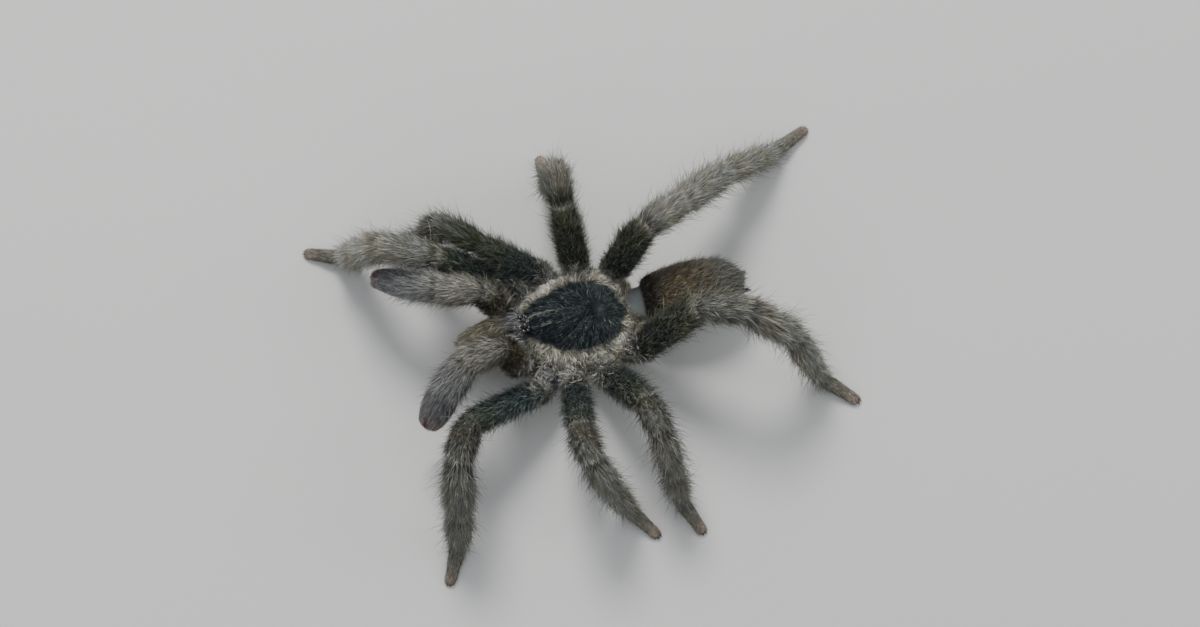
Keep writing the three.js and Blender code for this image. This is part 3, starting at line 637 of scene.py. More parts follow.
def markings(V, part, idx, phi, run):
    """The coat's colour at points of the skin."""
    out = np.tile(C["under"], (len(V), 1))
    soft = wave(V, 3, 0.9)
    fine = wave(V, 8, 3.1)
    for name, limb in LIMBS.items():
        w = np.flatnonzero(part == PART[name])
        if not len(w):
            continue
        tube = TUBES[name]
        x = tube.K[idx[w]] + tube.U[idx[w]]           # 0..6 along a leg, 0..5 along a palp
        kind = limb[0]
        palp = kind.startswith("palp")
        sin = np.sin(phi[w])
        dark = C["femur"] if kind in ("leg_1", "leg_2") else 0.45 * C["femur_olive"] + 0.55 * C["femur"]
        # painted light and shade: each limb's femur is made lighter or darker as the light falls on it
        dark = dark * {"leg_left_1": 1.75, "leg_left_2": 0.88, "leg_left_3": 0.9, "leg_left_4": 0.82, "leg_right_1": 1.5, "leg_right_2": 1.2,
                       "leg_right_3": 0.92, "leg_right_4": 0.86}.get(name, 1.0)
        if palp:
            dark = C["palp_femur"]
        else:                                         # the femur turns olive towards the knee
            dark = mix(np.tile(dark, (len(w), 1)), C["femur_knee"], (0.55 + 0.15 * np.clip(fine[w], -1, 1)) * smooth(x, 1.4, 1.9))
        light = mix(C["leg"], C["leg_warm"], smooth(soft[w], -0.6, 0.9) * 0.85)
        light = mix(light, C["leg_grey"], 0.6 * smooth(fine[w], 0.0, 1.2))
        if palp:
            light = mix(C["palp_warm"], C["palp"], smooth(x, 2.6, 3.6))
        c = mix(np.tile(C["coxa"], (len(w), 1)), 0.45 * (C["cream"] + C["white"]), smooth(soft[w] + fine[w], -0.4, 1.2))
        near = 0.3 * palp                             # pale curls reach further out on a palp
        c = mix(c, dark, smooth(x, 0.97 + near, 1.14 + near))
        c = mix(c, dark * 1.7, smooth(-sin, -0.35, 0.5) * (x > 1) * 0.55)
        start, stop = (1.8, 1.99) if name in ("leg_left_2", "leg_left_3", "leg_left_4") else (1.96, 2.06)
        if name == "palp_right":
            start, stop = 1.72, 1.86
        # leg_right_2's dark femur colour runs on into its patella, partly where its femur ends and partly painted shade
        # on a limb in shadow.
        if name == "leg_right_2":
            start, stop = 2.15, 2.9
        if name == "leg_right_3":
            start, stop = 2.1, 2.4
        # the pale segments carry each limb's painted light and shade
        c = mix(c, light * LIMB_LIGHT_AND_SHADE.get(name, 1.0), smooth(x + 0.03 * fine[w], start, stop))
        if palp:
            c = mix(c, C["ring"], np.exp(-((x - 2.0) / 0.06) ** 2) * 0.5 + np.exp(-((x - 3.0) / 0.05) ** 2) * 0.45)
            c = mix(c, C["palp_tip"], smooth(x, 4.4, 4.95) * 0.4)
            c = mix(c, C["palp_split"], smooth(x, 4.62, 4.85) * np.exp(-(np.cos(phi[w]) / 0.32) ** 2) * 0.9)
        else:
            c = mix(c, C["leg"] * 0.8, smooth(x, 4.8, 5.1) * 0.8)
            c = mix(c, C["toe"], smooth(x, 5.0, 5.4) * 0.8)
            c = mix(c, C["pink"], smooth(x, 5.55, 5.95) * 0.45)
            c = mix(c, C["ring"], np.exp(-((x - 3.0) / 0.035) ** 2) * 0.55 + np.exp(-((x - 4.0) / 0.03) ** 2) * 0.4)
            # the ring at leg_right_2's knee is kept faint, painted shade on that limb
            c = mix(c, C["ring"], np.exp(-((x - 2.0) / 0.04) ** 2) * (0.2 if name == "leg_right_2" else 0.8))
        # two bare pale lines along the top of the patella and tibia
        line = np.exp(-((np.abs(phi[w] - math.pi / 2) - 0.42) / 0.07) ** 2) * smooth(x, 2.1, 2.25) * (1 - smooth(x, 3.5, 3.8))
        c = mix(c, C["ring"], 0.3 * line)
        seam = np.exp(-((x - 3.06) / 0.035) ** 2) + np.exp(-((x - 2.07) / 0.03) ** 2) + np.exp(-((x - 4.05) / 0.035) ** 2) * (not palp)
        c = c * (1 - 0.5 * seam)[:, None]
        out[w] = c * (0.66 + 0.34 * smooth(sin, -0.6, 0.6))[:, None]
    w = part == PART["carapace"]
    if w.any():
        t, x, y = run[w], V[w, 0], V[w, 1]
        c = mix(np.tile(C["shell_hair"], (w.sum(), 1)), C["shell_pale"], 0.32 * rays(x, y))
        c = mix(c, C["shell_pale"], 0.22 * smooth(y, FOVEA[1] - 1.5, FOVEA[1] + 1.5))
        edge = mix(np.tile(C["cream"], (w.sum(), 1)), C["white"] * 0.75, np.exp(-((y + 9) / 1.3) ** 2))
        # painted light: the border is lighter on the animal's right side, where the light falls
        edge = edge * (1.06 + 0.45 * smooth(BODY_X - x, 1.0, 5.0))[:, None]
        c = mix(c, edge, fringe_of(t, phi[w]) * (0.85 + 0.15 * np.clip(fine[w], -1, 1)))
        eye = np.exp(-(((x - BODY_X) / 2.2) ** 2 + ((y - EYE_Y + 0.8) / 1.1) ** 2) ** 2)
        out[w] = mix(c, C["white"] * 0.8, 0.7 * eye)
    w = part == PART["abdomen"]
    if w.any():
        u = run[w] / TUBES["abdomen"].length
        c = mix(np.tile(C["abdomen_front"], (w.sum(), 1)), C["abdomen"], smooth(u + 0.03 * soft[w], 0.09, 0.26))
        c = mix(c, C["abdomen_rear"], smooth(u, 0.45, 0.85) * 0.85)
        c = mix(c, C["bald"], 1 - smooth(u, 0.02, 0.05))
        c = mix(c, C["under"], 0.6 * (1 - smooth(np.sin(phi[w]), -0.7, 0.2)))
        out[w] = c
    w = part == PART["pedicel"]
    c = mix(np.tile(C["bald"], (w.sum(), 1)), C["under"], 0.4 * smooth(fine[w] + soft[w], -0.3, 1))
    out[w] = mix(c, C["cream"] * 0.5, 0.6 * smooth(V[w, 0] - BODY_X + 0.4 * soft[w], 0.4, 2.2))
    for side in ("left", "right"):
        w = part == PART["chelicera_" + side]
        u = run[w] / TUBES["chelicera_" + side].length
        c = mix(np.tile(C["jaw_base"], (w.sum(), 1)), C["jaw"], smooth(u, 0.14, 0.3))
        c = c * (1 - 0.25 * smooth(np.sin(phi[w] * 15 + 1.5 * soft[w]), 0.2, 0.9) * smooth(u, 0.2, 0.35))[:, None]
        # painted shade in the gap where the two jaws meet
        c = c * (1 - 0.6 * np.exp(-((V[w, 0] - BODY_X) / 0.35) ** 2))[:, None]
        out[w] = mix(c, C["under"], 1 - smooth(np.sin(phi[w]), -0.8, 0.1))
        w = part == PART["spinneret_" + side]
        out[w] = C["abdomen_rear"] * 0.85
    return out


def bare(V, part, run):
    """1 where the skin has no hair."""
    out = np.zeros(len(V))
    out[part == PART["pedicel"]] = 1
    w = part == PART["abdomen"]
    out[w] = 1 - smooth(run[w] / TUBES["abdomen"].length, 0.03, 0.06)
    w = part == PART["carapace"]
    out[w & (eye_mound(V) < 1.12) & (V[:, 2] > EYE_Z + 0.1)] = 1
    return out


SKIN.part, SKIN.idx, SKIN.phi, SKIN.run = classify(SKIN.V)
PLATE.part = np.full(len(PLATE.V), PART["carapace"])
PLATE.idx = np.zeros(len(PLATE.V), int)
PLATE.run, PLATE.phi = plan_share(PLATE.V[:, 0], PLATE.V[:, 1])
for surface in (SKIN, PLATE):
    surface.tone = markings(surface.V, surface.part, surface.idx, surface.phi, surface.run)
    surface.bare = bare(surface.V, surface.part, surface.run)


def skin_material(name):
    m = Nodes(name)
    tone = m.add("ShaderNodeAttribute", attribute_name="tone").outputs["Color"]
    gloss = m.add("ShaderNodeAttribute", attribute_name="gloss").outputs["Fac"]
    cloud = m.noise(420.0, 5.0).outputs["Fac"]
    shade = m.ramp(cloud, [(0.25, (0.72, 0.72, 0.72)), (0.75, (1.22, 1.22, 1.2))])
    rough = m.ramp(gloss, [(0.0, (0.75, 0.75, 0.75)), (1.0, (0.34, 0.34, 0.34))])
    m.set(Base_Color=m.blend("MULTIPLY", 1.0, tone, shade), Roughness=rough, Specular_IOR_Level=0.5)
    m.bump(m.noise(2600.0, 3.0).outputs["Fac"], 0.35, 0.00012)
    return m.mat


tone = SKIN.tone * np.where(SKIN.bare > 0.5, 1.0, 0.42)[:, None]
skin = build_mesh("skin", SKIN.V, SKIN.F, tone, floats={"gloss": np.where(SKIN.bare > 0.5, 0.3, 0.0)})
skin.data.materials.append(skin_material("skin"))
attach(skin, "root")
nodes = list(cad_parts)
hard = ("eye", "fang", "palpal", "carapace")
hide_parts(*[n for n in nodes if not n.startswith(hard)])

mound = (eye_mound(PLATE.V) < 1.2) & (PLATE.V[:, 2] > EYE_Z - 0.3)
fringe = fringe_of(PLATE.run, PLATE.phi)
tone = mix(np.tile(C["shell"], (len(PLATE.V), 1)), C["shell_hair"], 0.6 * rays(PLATE.V[:, 0], PLATE.V[:, 1]))
tone = mix(tone, C["cream"] * 0.3, fringe)
tone[mound] = srgb(20, 21, 23)
gloss = np.where(mound, 1.0, 0.4 * (1 - fringe))
plate = build_mesh("carapace_plate", PLATE.V, PLATE.F, tone, floats={"gloss": gloss})
plate.data.materials.append(skin_material("carapace_plate"))
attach(plate, "root")
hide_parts("carapace", "eye_tubercle")


# ------------------------------------------------------- eyes, fangs, bulbs
def sweep(points, radii, sides=20, n=36):
    points, radii = np.array(points, float), np.array(radii, float)
    at = np.linspace(0, 1, len(points))
    s = np.linspace(0, 1, n)
    p = np.stack([np.interp(s, at, points[:, i]) for i in range(3)], 1)
    r = np.interp(s, at, radii)
    for _ in range(6):
        p[1:-1] = 0.25 * p[:-2] + 0.5 * p[1:-1] + 0.25 * p[2:]
    T = unit(np.gradient(p, axis=0))
    side = unit(np.cross(T, [0.31, 0.57, 0.76]))
    top = np.cross(side, T)
    a = np.arange(sides) * 2 * math.pi / sides
    return p[:, None] + side[:, None] * (r[:, None] * np.cos(a))[..., None] + top[:, None] * (r[:, None] * np.sin(a))[..., None]


def solid_piece(name, rings_list, material, nodes):
    vs, fs, base = [], [], 0
    for rings in rings_list:
        v, f = closed_loft(rings)
        vs.append(v); fs += [[base + i for i in q] for q in f]; base += len(v)
    me = bpy.data.meshes.new(name)
    me.from_pydata(((np.concatenate(vs) - CENTRE) * 0.001).tolist(), [], fs)
    me.polygons.foreach_set("use_smooth", np.ones(len(fs), bool))
    me.update()
    o = bpy.data.objects.new(name, me)
    bpy.context.scene.collection.objects.link(o)
    me.materials.append(material)
    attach(o, "root")
    if nodes:
        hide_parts(*nodes)
    return o


def horn_material(name, scale, low, high, **values):
    m = Nodes(name)
    c = m.noise(scale, 3.0).outputs["Fac"]
    m.set(Base_Color=m.ramp(c, [(0.3, low), (0.75, high)]), **values)
    return m.mat


eye_mat = horn_material("eye_glass", 700.0, (0.004, 0.004, 0.005), (0.02, 0.022, 0.026), Roughness=0.05, Specular_IOR_Level=0.9, Coat_Weight=1.0, Coat_Roughness=0.03)
fang_mat = horn_material("fang_horn", 500.0, (0.006, 0.004, 0.004), (0.03, 0.014, 0.010), Roughness=0.16, Specular_IOR_Level=0.6)
bulb_mat = horn_material("bulb_horn", 800.0, (0.06, 0.012, 0.009), (0.16, 0.04, 0.025), Roughness=0.2, Specular_IOR_Level=0.6)
claw_mat = horn_material("claw_horn", 800.0, (0.008, 0.006, 0.006), (0.04, 0.024, 0.02), Roughness=0.25, Specular_IOR_Level=0.5)

for side, s in (("left", 1), ("right", -1)):
    solid_piece("eye_front_" + side, [blob((BODY_X + s * 0.46, EYE_Y - 0.12, EYE_Z + 0.9), (0.38, 0.38, 0.38), 28, 20)], eye_mat, ["eye_main_" + side])
    solid_piece("eyes_beside_" + side, [
        blob((BODY_X + s * 1.2, EYE_Y - 0.5, EYE_Z + 0.46), (0.34, 0.4, 0.34), 24, 16),
        blob((BODY_X + s * 1.22, EYE_Y + 0.16, EYE_Z + 0.57), (0.3, 0.36, 0.3), 24, 16),
        blob((BODY_X + s * 0.88, EYE_Y + 0.42, EYE_Z + 0.76), (0.26, 0.24, 0.22), 20, 14)], eye_mat, ["eyes_side_" + side])
    x = s * 1.8
    curve = [(1, -16.9, 3.3), (1, -17.25, 2.3), (0.98, -16.9, 1.45), (0.93, -16.0, 1.08), (0.86, -14.9, 1.0), (0.77, -13.8, 1.08), (0.67, -12.7, 1.38)]
    solid_piece("fang_horn_" + side, [sweep([[BODY_X + x * k, y, z] for k, y, z in curve], [0.6, 0.56, 0.5, 0.43, 0.36, 0.26, 0.1])], fang_mat, ["fang_" + side])
    pts = limb_points(LIMBS["palp_" + side])
    end, along = pts[-1], unit(pts[-1] - pts[-2])
    down = -unit(UP - along * along[2])
    under = GIRTH["palp_" + side][4][1]
    a = end - along * 2.2 + down * (under - 0.5)
    b = a + along * 1.5 + down * 0.75
    c3 = b + along * 1.6 - down * 0.5
    solid_piece("palp_bulb_" + side, [sweep([a, (a + b) / 2 + down * 0.08, b, (b + c3) / 2, c3], [0.3, 0.72, 0.8, 0.42, 0.1])], bulb_mat, ["palpal_bulb_" + side])

claws = []
for name in LIMBS:
    if name.startswith("leg"):
        tube = TUBES[name]
        end, along, across = tube.P[-1], tube.T[-1], tube.side[-1]
        for s in (1, -1):
            a = end - along * 0.25 + across * s * 0.28 + UP * 0.2
            claws.append(sweep([a, a + along * 0.45 + UP * 0.12, a + along * 0.8 + UP * 0.0, a + along * 0.95 - UP * 0.22], [0.11, 0.09, 0.06, 0.02], 8, 12))
solid_piece("claws", claws, claw_mat, None)


# -------------------------------------------------------------------- coat
def roots(surface, names, count, weight=None):
    """Places on the surface of these parts, spread by area times weight."""
    which = surface.part[surface.tri[:, 0]]
    tri = np.flatnonzero(np.isin(which, [PART[n] for n in names]))
    w = surface.area[tri].copy()
    if weight is not None:
        w *= weight[surface.tri[tri]].mean(1)
    pick = tri[np.sort(RNG.choice(len(tri), int(count * SHARE), p=w / w.sum()))]
    m = len(pick)
    a, b = RNG.random(m), RNG.random(m)
    flip = a + b > 1
    a[flip], b[flip] = 1 - a[flip], 1 - b[flip]
    i, j, k = surface.tri[pick].T
    V, N = surface.V, surface.N
    p = V[i] + a[:, None] * (V[j] - V[i]) + b[:, None] * (V[k] - V[i])
    n = unit(N[i] + a[:, None] * (N[j] - N[i]) + b[:, None] * (N[k] - N[i]))
    return Hair(p, n, which[pick], names)


class Hair:
    """Roots of hairs with all that depends on where they stand."""

    def __init__(self, p, n, which, names):
        self.p, self.n, self.which, self.names = p, n, which, names
        m = len(p)
        self.idx, self.phi, self.run = np.zeros(m, int), np.zeros(m), np.zeros(m)
        d = np.zeros_like(p)
        for name, tube in TUBES.items():
            w = np.flatnonzero(which == PART[name])
            if len(w):
                _, self.idx[w], self.phi[w], self.run[w] = tube.nearest(p[w])
                d[w] = tube.T[self.idx[w]]
        w = which == PART["carapace"]
        self.run[w], self.phi[w] = plan_share(p[w, 0], p[w, 1])
        d[w, 0], d[w, 1] = p[w, 0] - FOVEA[0], p[w, 1] - FOVEA[1]
        w = which == PART["sternum"]
        self.phi[w] = np.arctan2(p[w, 1] + 0.2, p[w, 0] - BODY_X)
        d[w] = [0, 1, 0]
        self.lie(d)
        self.colour = markings(p, which, self.idx, self.phi, self.run)
        self.x, self.wide = np.zeros(m), np.ones(m)
        if names[0] in LIMBS:
            tube = TUBES[names[0]]
            self.x = tube.K[self.idx] + tube.U[self.idx]

    def lie(self, d):
        """Lay the hair along the skin towards d."""
        d = unit(d)
        self.d = unit(d - self.n * np.einsum("ij,ij->i", d, self.n)[:, None])

    def turn(self, angle):
        self.d = turned(self.d, self.n, angle)

    def keep(self, mask):
        for key in ("p", "n", "which", "idx", "phi", "run", "d", "colour", "x", "wide"):
            setattr(self, key, getattr(self, key)[mask])
        return self

    def atlas(self):
        """Each root's place on an unwrap of the parts' own surface: a strip a part."""
        uv = np.zeros((len(self.p), 2))
        each = 1.0 / len(self.names)
        for i, name in enumerate(self.names):
            w = self.which == PART[name]
            p, phi, run = self.p[w], self.phi[w], self.run[w]
            if name == "carapace":
                t = np.clip(run, 0, 1)
                u, v = 0.5 + 0.49 * t * np.cos(phi), 0.5 + 0.49 * t * np.sin(phi)
            elif name == "sternum":
                u, v = 0.5 + 0.48 * np.clip((p[:, 0] - BODY_X) / 7, -1, 1), 0.5 + 0.48 * np.clip((p[:, 1] + 0.2) / 9, -1, 1)
            else:
                u = np.clip((run + 0.6) / (TUBES[name].length + 1.6), 0, 1)
                v = (phi + math.pi) / (2 * math.pi)
            uv[w, 0] = 0.004 + 0.992 * u
            uv[w, 1] = (i + 0.02 + 0.96 * v) * each
        return uv


PATCH = 0.003


def turned(d, n, angle):
    """d turned by angle about n."""
    return d * np.cos(angle)[:, None] + np.cross(n, d) * np.sin(angle)[:, None]


def strands(h, length, width, tilt, curl, sway, shape, root, tip):
    """Flat tapering hairs through len(shape) knots. shape is the width at each."""
    m, s = len(h.p), len(shape) - 1
    colour, uv, width = h.colour, h.atlas(), width * h.wide
    at = h.p - 0.05 * h.n
    roll = 0.5 * RNG.normal(size=(m, 1))
    rows, shades, patch, where, first = [], [], [], [], []
    count = 0
    for j in range(s + 1):
        share = j / max(1, s - 1)
        dj = turned(h.d, h.n, sway * min(1, share))
        w = unit(np.cross(h.n, dj) + roll * h.n)
        # each hair is darker at the root and lighter at the tip: partly the hair's own colour, partly painted shade
        # deep in the coat and painted highlight at the tips
        k = root + (1 - root) * min(1, j / s / 0.45) if j / s < 0.45 else 1 + (tip - 1) * (j / s - 0.45) / 0.55
        first.append(count)
        if shape[j] > 0:
            half = 0.5 * (width * shape[j])[:, None] * w
            rows += [at - half, at + half]
            shades += [k, k]
            patch += [[0.5 - 0.5 * shape[j], j / s], [0.5 + 0.5 * shape[j], j / s]]
            count += 2
        else:
            rows.append(at)
            shades.append(k)
            patch.append([0.5, j / s])
            count += 1
        if j < s:
            t = tilt - curl * share
            at = at + (length / s)[:, None] * (np.cos(t)[:, None] * dj + np.sin(t)[:, None] * h.n)
    for j in range(s):
        a, b = first[j], first[j + 1]
        if shape[j] > 0 and shape[j + 1] > 0:
            where += [[a, a + 1, b + 1], [a, b + 1, b]]
        elif shape[j] > 0:
            where.append([a, a + 1, b])
        else:
            where.append([a, b + 1, b])
    v = np.stack(rows, 1).reshape(-1, 3)
    f = (np.arange(m)[:, None, None] * count + np.array(where)[None]).reshape(-1, 3)
    col = (colour[:, None] * np.array(shades)[None, :, None]).reshape(-1, 3)
    patch = np.array(patch) * PATCH - PATCH / 2
    u = np.clip(uv[:, None] + patch[None], 0.0005, 0.9995).reshape(-1, 2)
    return v, f, col, u[f.ravel()]


def spikes(h, length, width, tilt, curl):
    """Round tapering guard hairs of nine triangles each."""
    m = len(h.p)
    d, n = h.d, h.n
    d0 = np.cos(tilt)[:, None] * d + np.sin(tilt)[:, None] * n
    d1 = np.cos(tilt - curl)[:, None] * d + np.sin(tilt - curl)[:, None] * n
    w = unit(np.cross(n, d))
    q = unit(np.cross(d0, w))
    p0 = h.p - 0.08 * n
    p1 = p0 + 0.5 * length[:, None] * d0
    p2 = p1 + 0.5 * length[:, None] * d1
    ring = []
    for base, r in ((p0, 0.5), (p1, 0.4)):
        for a in (0.0, 2.094, 4.189):
            ring.append(base + (w * math.cos(a) + q * math.sin(a)) * (width * r)[:, None])
    v = np.stack(ring + [p2], 1).reshape(-1, 3)
    b = np.arange(m)[:, None] * 7
    f = np.stack([b + x for x in ([0, 1, 4], [0, 4, 3], [1, 2, 5], [1, 5, 4], [2, 0, 3], [2, 3, 5], [3, 4, 6], [4, 5, 6], [5, 3, 6])], 1).reshape(-1, 3)
    # darker at the root and lighter at the tip: partly the hair's own colour, partly painted shade and painted
    # highlight
    k = np.array([0.6, 0.6, 0.6, 1.0, 1.0, 1.0, 1.15])
    col = (h.colour[:, None] * k[None, :, None]).reshape(-1, 3)
    patch = np.array([[0, 0], [0.5, 0.1], [1, 0], [0.1, 0.5], [0.5, 0.6], [0.9, 0.5], [0.5, 1]]) * PATCH - PATCH / 2
    u = np.clip(h.atlas()[:, None] + patch[None], 0.0005, 0.9995).reshape(-1, 2)
    return v, f, col, u[f.ravel()]


SHARE = 1.0
mats = {
    "leg": hair_material("coat_leg", 0.5, 0.26, 0.06),
    "fringe": hair_material("coat_fringe", 0.5, 0.35, 0.08),
    "shell": hair_material("coat_carapace", 0.6, 0.1, 0.0),
    "body": hair_material("coat_body", 0.55, 0.35, 0.15),
}
TOTAL = [0]


def finish_coat(name, sets, material):
    vs, fs, cs, us, base = [], [], [], [], 0
    for v, f, c, u in sets:
        vs.append(v); fs.append(f + base); cs.append(c); us.append(u)
        base += len(v)
    v = np.concatenate(vs)
    v[:, 2] = np.maximum(v[:, 2], 0.02 + 0.02 * RNG.random(len(v)))
    f = np.concatenate(fs)
    o = build_mesh(name, v, f, np.clip(np.concatenate(cs), 0, 0.9), uv=np.concatenate(us))
    o.data.materials.append(material)
    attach(o, "root")
    TOTAL[0] += len(f)
    print(name, len(f))
    return o


def vary(h, spread, seed=0, clump=0.2, bright=0.0, lift=1.75, drop=0.7, wide=1.6):
    """Lighten and darken hairs one by one and in small locks. A share is bright."""
    m = len(h.p)
    h.colour = h.colour * np.exp(RNG.normal(0, spread, m) + clump * wave(h.p, 70 + seed, 3.4))[:, None]
    h.wide = np.ones(m)
    if bright:
        light = RNG.random(m) < bright
        h.colour = h.colour * np.where(light, lift, drop)[:, None]
        h.wide = np.where(light, wide, 0.9)
    return h


def interp(x, *pairs):
    return np.interp(x, pairs[0::2], pairs[1::2])


def uniform(h, lo, hi):
    return RNG.uniform(lo, hi, len(h.p))


def normal(h, mean, spread):
    return RNG.normal(mean, spread, len(h.p))


# legs and palps: a dense lying undercoat, pale locks over it, frosting that
# stands out, curls at the hip, brushes at the foot, and long guard hairs
FLUFF = {"leg_1": 1.1, "leg_2": 0.78, "leg_3": 0.72, "leg_4": 0.95, "palp_left": 1.0, "palp_right": 0.9}


def streaks(h, seed):
    """Noise that runs in lines along a limb, about -1 to 1."""
    r = np.random.default_rng(seed)
    out = np.zeros(len(h.p))
    for _ in range(6):
        out += np.sin(r.integers(9, 24) * h.phi + r.uniform(-0.5, 0.5) * h.run + 1.4 * np.sin(0.5 * h.run + r.uniform(0, 6.28)) + r.uniform(0, 6.28))
    return out / 2.8


def limb_length(h, *pairs):
    joint = 1 - 0.5 * sum(np.exp(-((h.x - at) / 0.06) ** 2) for at in (2.0, 3.0, 4.0))
    return interp(h.x, *pairs) * joint


for number, (name, limb) in enumerate(LIMBS.items()):
    palp = limb[0].startswith("palp")
    end = 5.0 if palp else 6.0
    tube, fluff = TUBES[name], FLUFF[limb[0]]
    sets = []

    h = roots(SKIN, [name], 18500 if palp else 24500)
    vary(h, 0.28, number, 0.07)
    h.colour = h.colour * np.exp(0.2 * streaks(h, 300 + number))[:, None]
    h.colour = h.colour * (0.68 + 0.2 * smooth(h.x, end - 1.15, end - 0.95))[:, None]
    h.turn(normal(h, 0, 0.1) + 0.06 * wave(h.p, number, 2.4))
    if palp:
        length = limb_length(h, 0, 0.8, 1, 0.9, 1.2, 1.1, 1.9, 1.2, 2.2, 1.4, 3, 1.4, 4, 1.3, 5, 0.7)
    else:
        length = limb_length(h, 0, 0.8, 1, 0.9, 1.2, 1.2, 1.9, 1.3, 2.2, 1.4, 3, 1.5, 4, 1.5, 4.8, 1.2, 5.1, 0.95, 6, 0.8)
    tilt = interp(h.x, 0, 0.5, 1, 0.35, 1.3, 0.2, 1.9, 0.22, 2.2, 0.28, 4.8, 0.32, 5.2, 0.22, 6, 0.3)
    tilt = fluff * tilt * uniform(h, 0.5, 1.4) * (1 + 0.1 * wave(h.p, 20 + number, 2.4))
    width = interp(h.x, 0, 0.085, 5, 0.08, 6, 0.06) * uniform(h, 0.7, 1.3)
    sets.append(strands(h, length * uniform(h, 0.6, 1.3), width, tilt, normal(h, 0.2, 0.12), normal(h, 0, 0.12), [0, 1, 0], 0.45, 1.2))

    h = roots(SKIN, [name], 9000 if palp else 12300)
    fem = smooth(h.x, 1.05, 1.2) * (1 - smooth(h.x, 1.9, 2.0))
    h.keep(RNG.random(len(h.p)) < 1 - 0.4 * fem * (not palp))
    fem = smooth(h.x, 1.05, 1.2) * (1 - smooth(h.x, 1.9, 2.0))
    pale = 0.5 * (RNG.random(len(h.p)) < 0.2)[:, None] * fem[:, None]
    h.colour = h.colour * (1.25 + 0.3 * fem)[:, None]
    h.colour = h.colour + (mix(np.tile(C["frost"], (len(h.p), 1)), C["gold"], RNG.random(len(h.p)) < GOLDEN[name]) - h.colour) * pale
    vary(h, 0.25, number, 0.06, 0.26, 1.5, 0.8, 1.4)
    h.colour = h.colour * np.exp(0.2 * streaks(h, 300 + number))[:, None]
    foot = smooth(h.x, end - 1.15, end - 0.95)
    h.colour = h.colour * (1 - 0.3 * foot)[:, None]
    h.wide = h.wide * (1 - 0.35 * foot)
    h.turn(normal(h, 0, 0.1) + 0.05 * wave(h.p, number, 2.4))
    if palp:
        length = limb_length(h, 0, 1.0, 1.2, 1.6, 1.9, 1.8, 2.2, 2.1, 3, 2.1, 4, 1.8, 5, 0.8)
    else:
        length = limb_length(h, 0, 1.0, 1.2, 1.7, 1.9, 1.9, 2.2, 2.3, 3, 2.5, 4, 2.5, 4.8, 1.9, 5.1, 1.1, 6, 0.85)
    tilt = interp(h.x, 0, 0.5, 1, 0.4, 1.3, 0.24, 1.9, 0.25, 2.2, 0.3, 4.8, 0.34, 5.2, 0.22, 6, 0.3)
    tilt = fluff * tilt * uniform(h, 0.4, 1.6) * (1 + 0.1 * wave(h.p, 20 + number, 2.4))
    width = interp(h.x, 0, 0.09, 5, 0.085, 6, 0.065) * uniform(h, 0.6, 1.3)
    sets.append(strands(h, length * (0.5 + 0.5 * fluff) * uniform(h, 0.6, 1.25), width, tilt, normal(h, 0.12, 0.12), normal(h, 0, 0.12), [0.7, 1, 0], 0.35, 1.25))

    h = roots(SKIN, [name], 3500 if palp else 5600)  # frosting
    h.keep((h.x > 1.02) & (h.x < end - 0.85))
    fem = smooth(h.x, 1.0, 1.2) * (1 - smooth(h.x, 1.9, 2.0))
    h.colour = mix(h.colour * 1.25, mix(np.tile(C["frost"], (len(h.p), 1)), C["gold"], RNG.random(len(h.p)) < GOLDEN[name]), 0.55 * fem)
    vary(h, 0.3, number, 0.1)
    h.turn(normal(h, 0, 0.25))
    length = limb_length(h, 1, 1.5, 1.5, 1.9, 2, 1.9, 3, 2.3, 4, 2.4, 4.8, 1.9, 5.2, 1.0)
    sets.append(strands(h, length * uniform(h, 0.6, 1.3), uniform(h, 0.045, 0.07), uniform(h, 0.5, 1.05), normal(h, 0.3, 0.2), normal(h, 0, 0.2), [0.7, 1, 0], 0.6, 1.15))

    h = roots(SKIN, [name], 11000)                   # curls at the hip
    h.keep((h.x < (1.45 if palp else 1.2)) & (RNG.random(len(h.p)) < 0.9))
    h.colour = mix(h.colour, 0.5 * (C["cream"] + C["white"]), 0.6)
    vary(h, 0.25, number, 0.35, 0.3, 1.45, 0.65, 1.4)
    h.turn(1.0 * wave(h.p, 40 + number, 1.9) + normal(h, 0, 0.3))
    sets.append(strands(h, uniform(h, 1.1, 2.3), uniform(h, 0.07, 0.13), uniform(h, 0.2, 0.8), normal(h, 0.4, 0.3),
                        normal(h, 0, 0.4) + 0.8 * np.sign(wave(h.p, 50 + number, 1.5)), [0, 1, 0.8, 0], 0.25, 1.3))

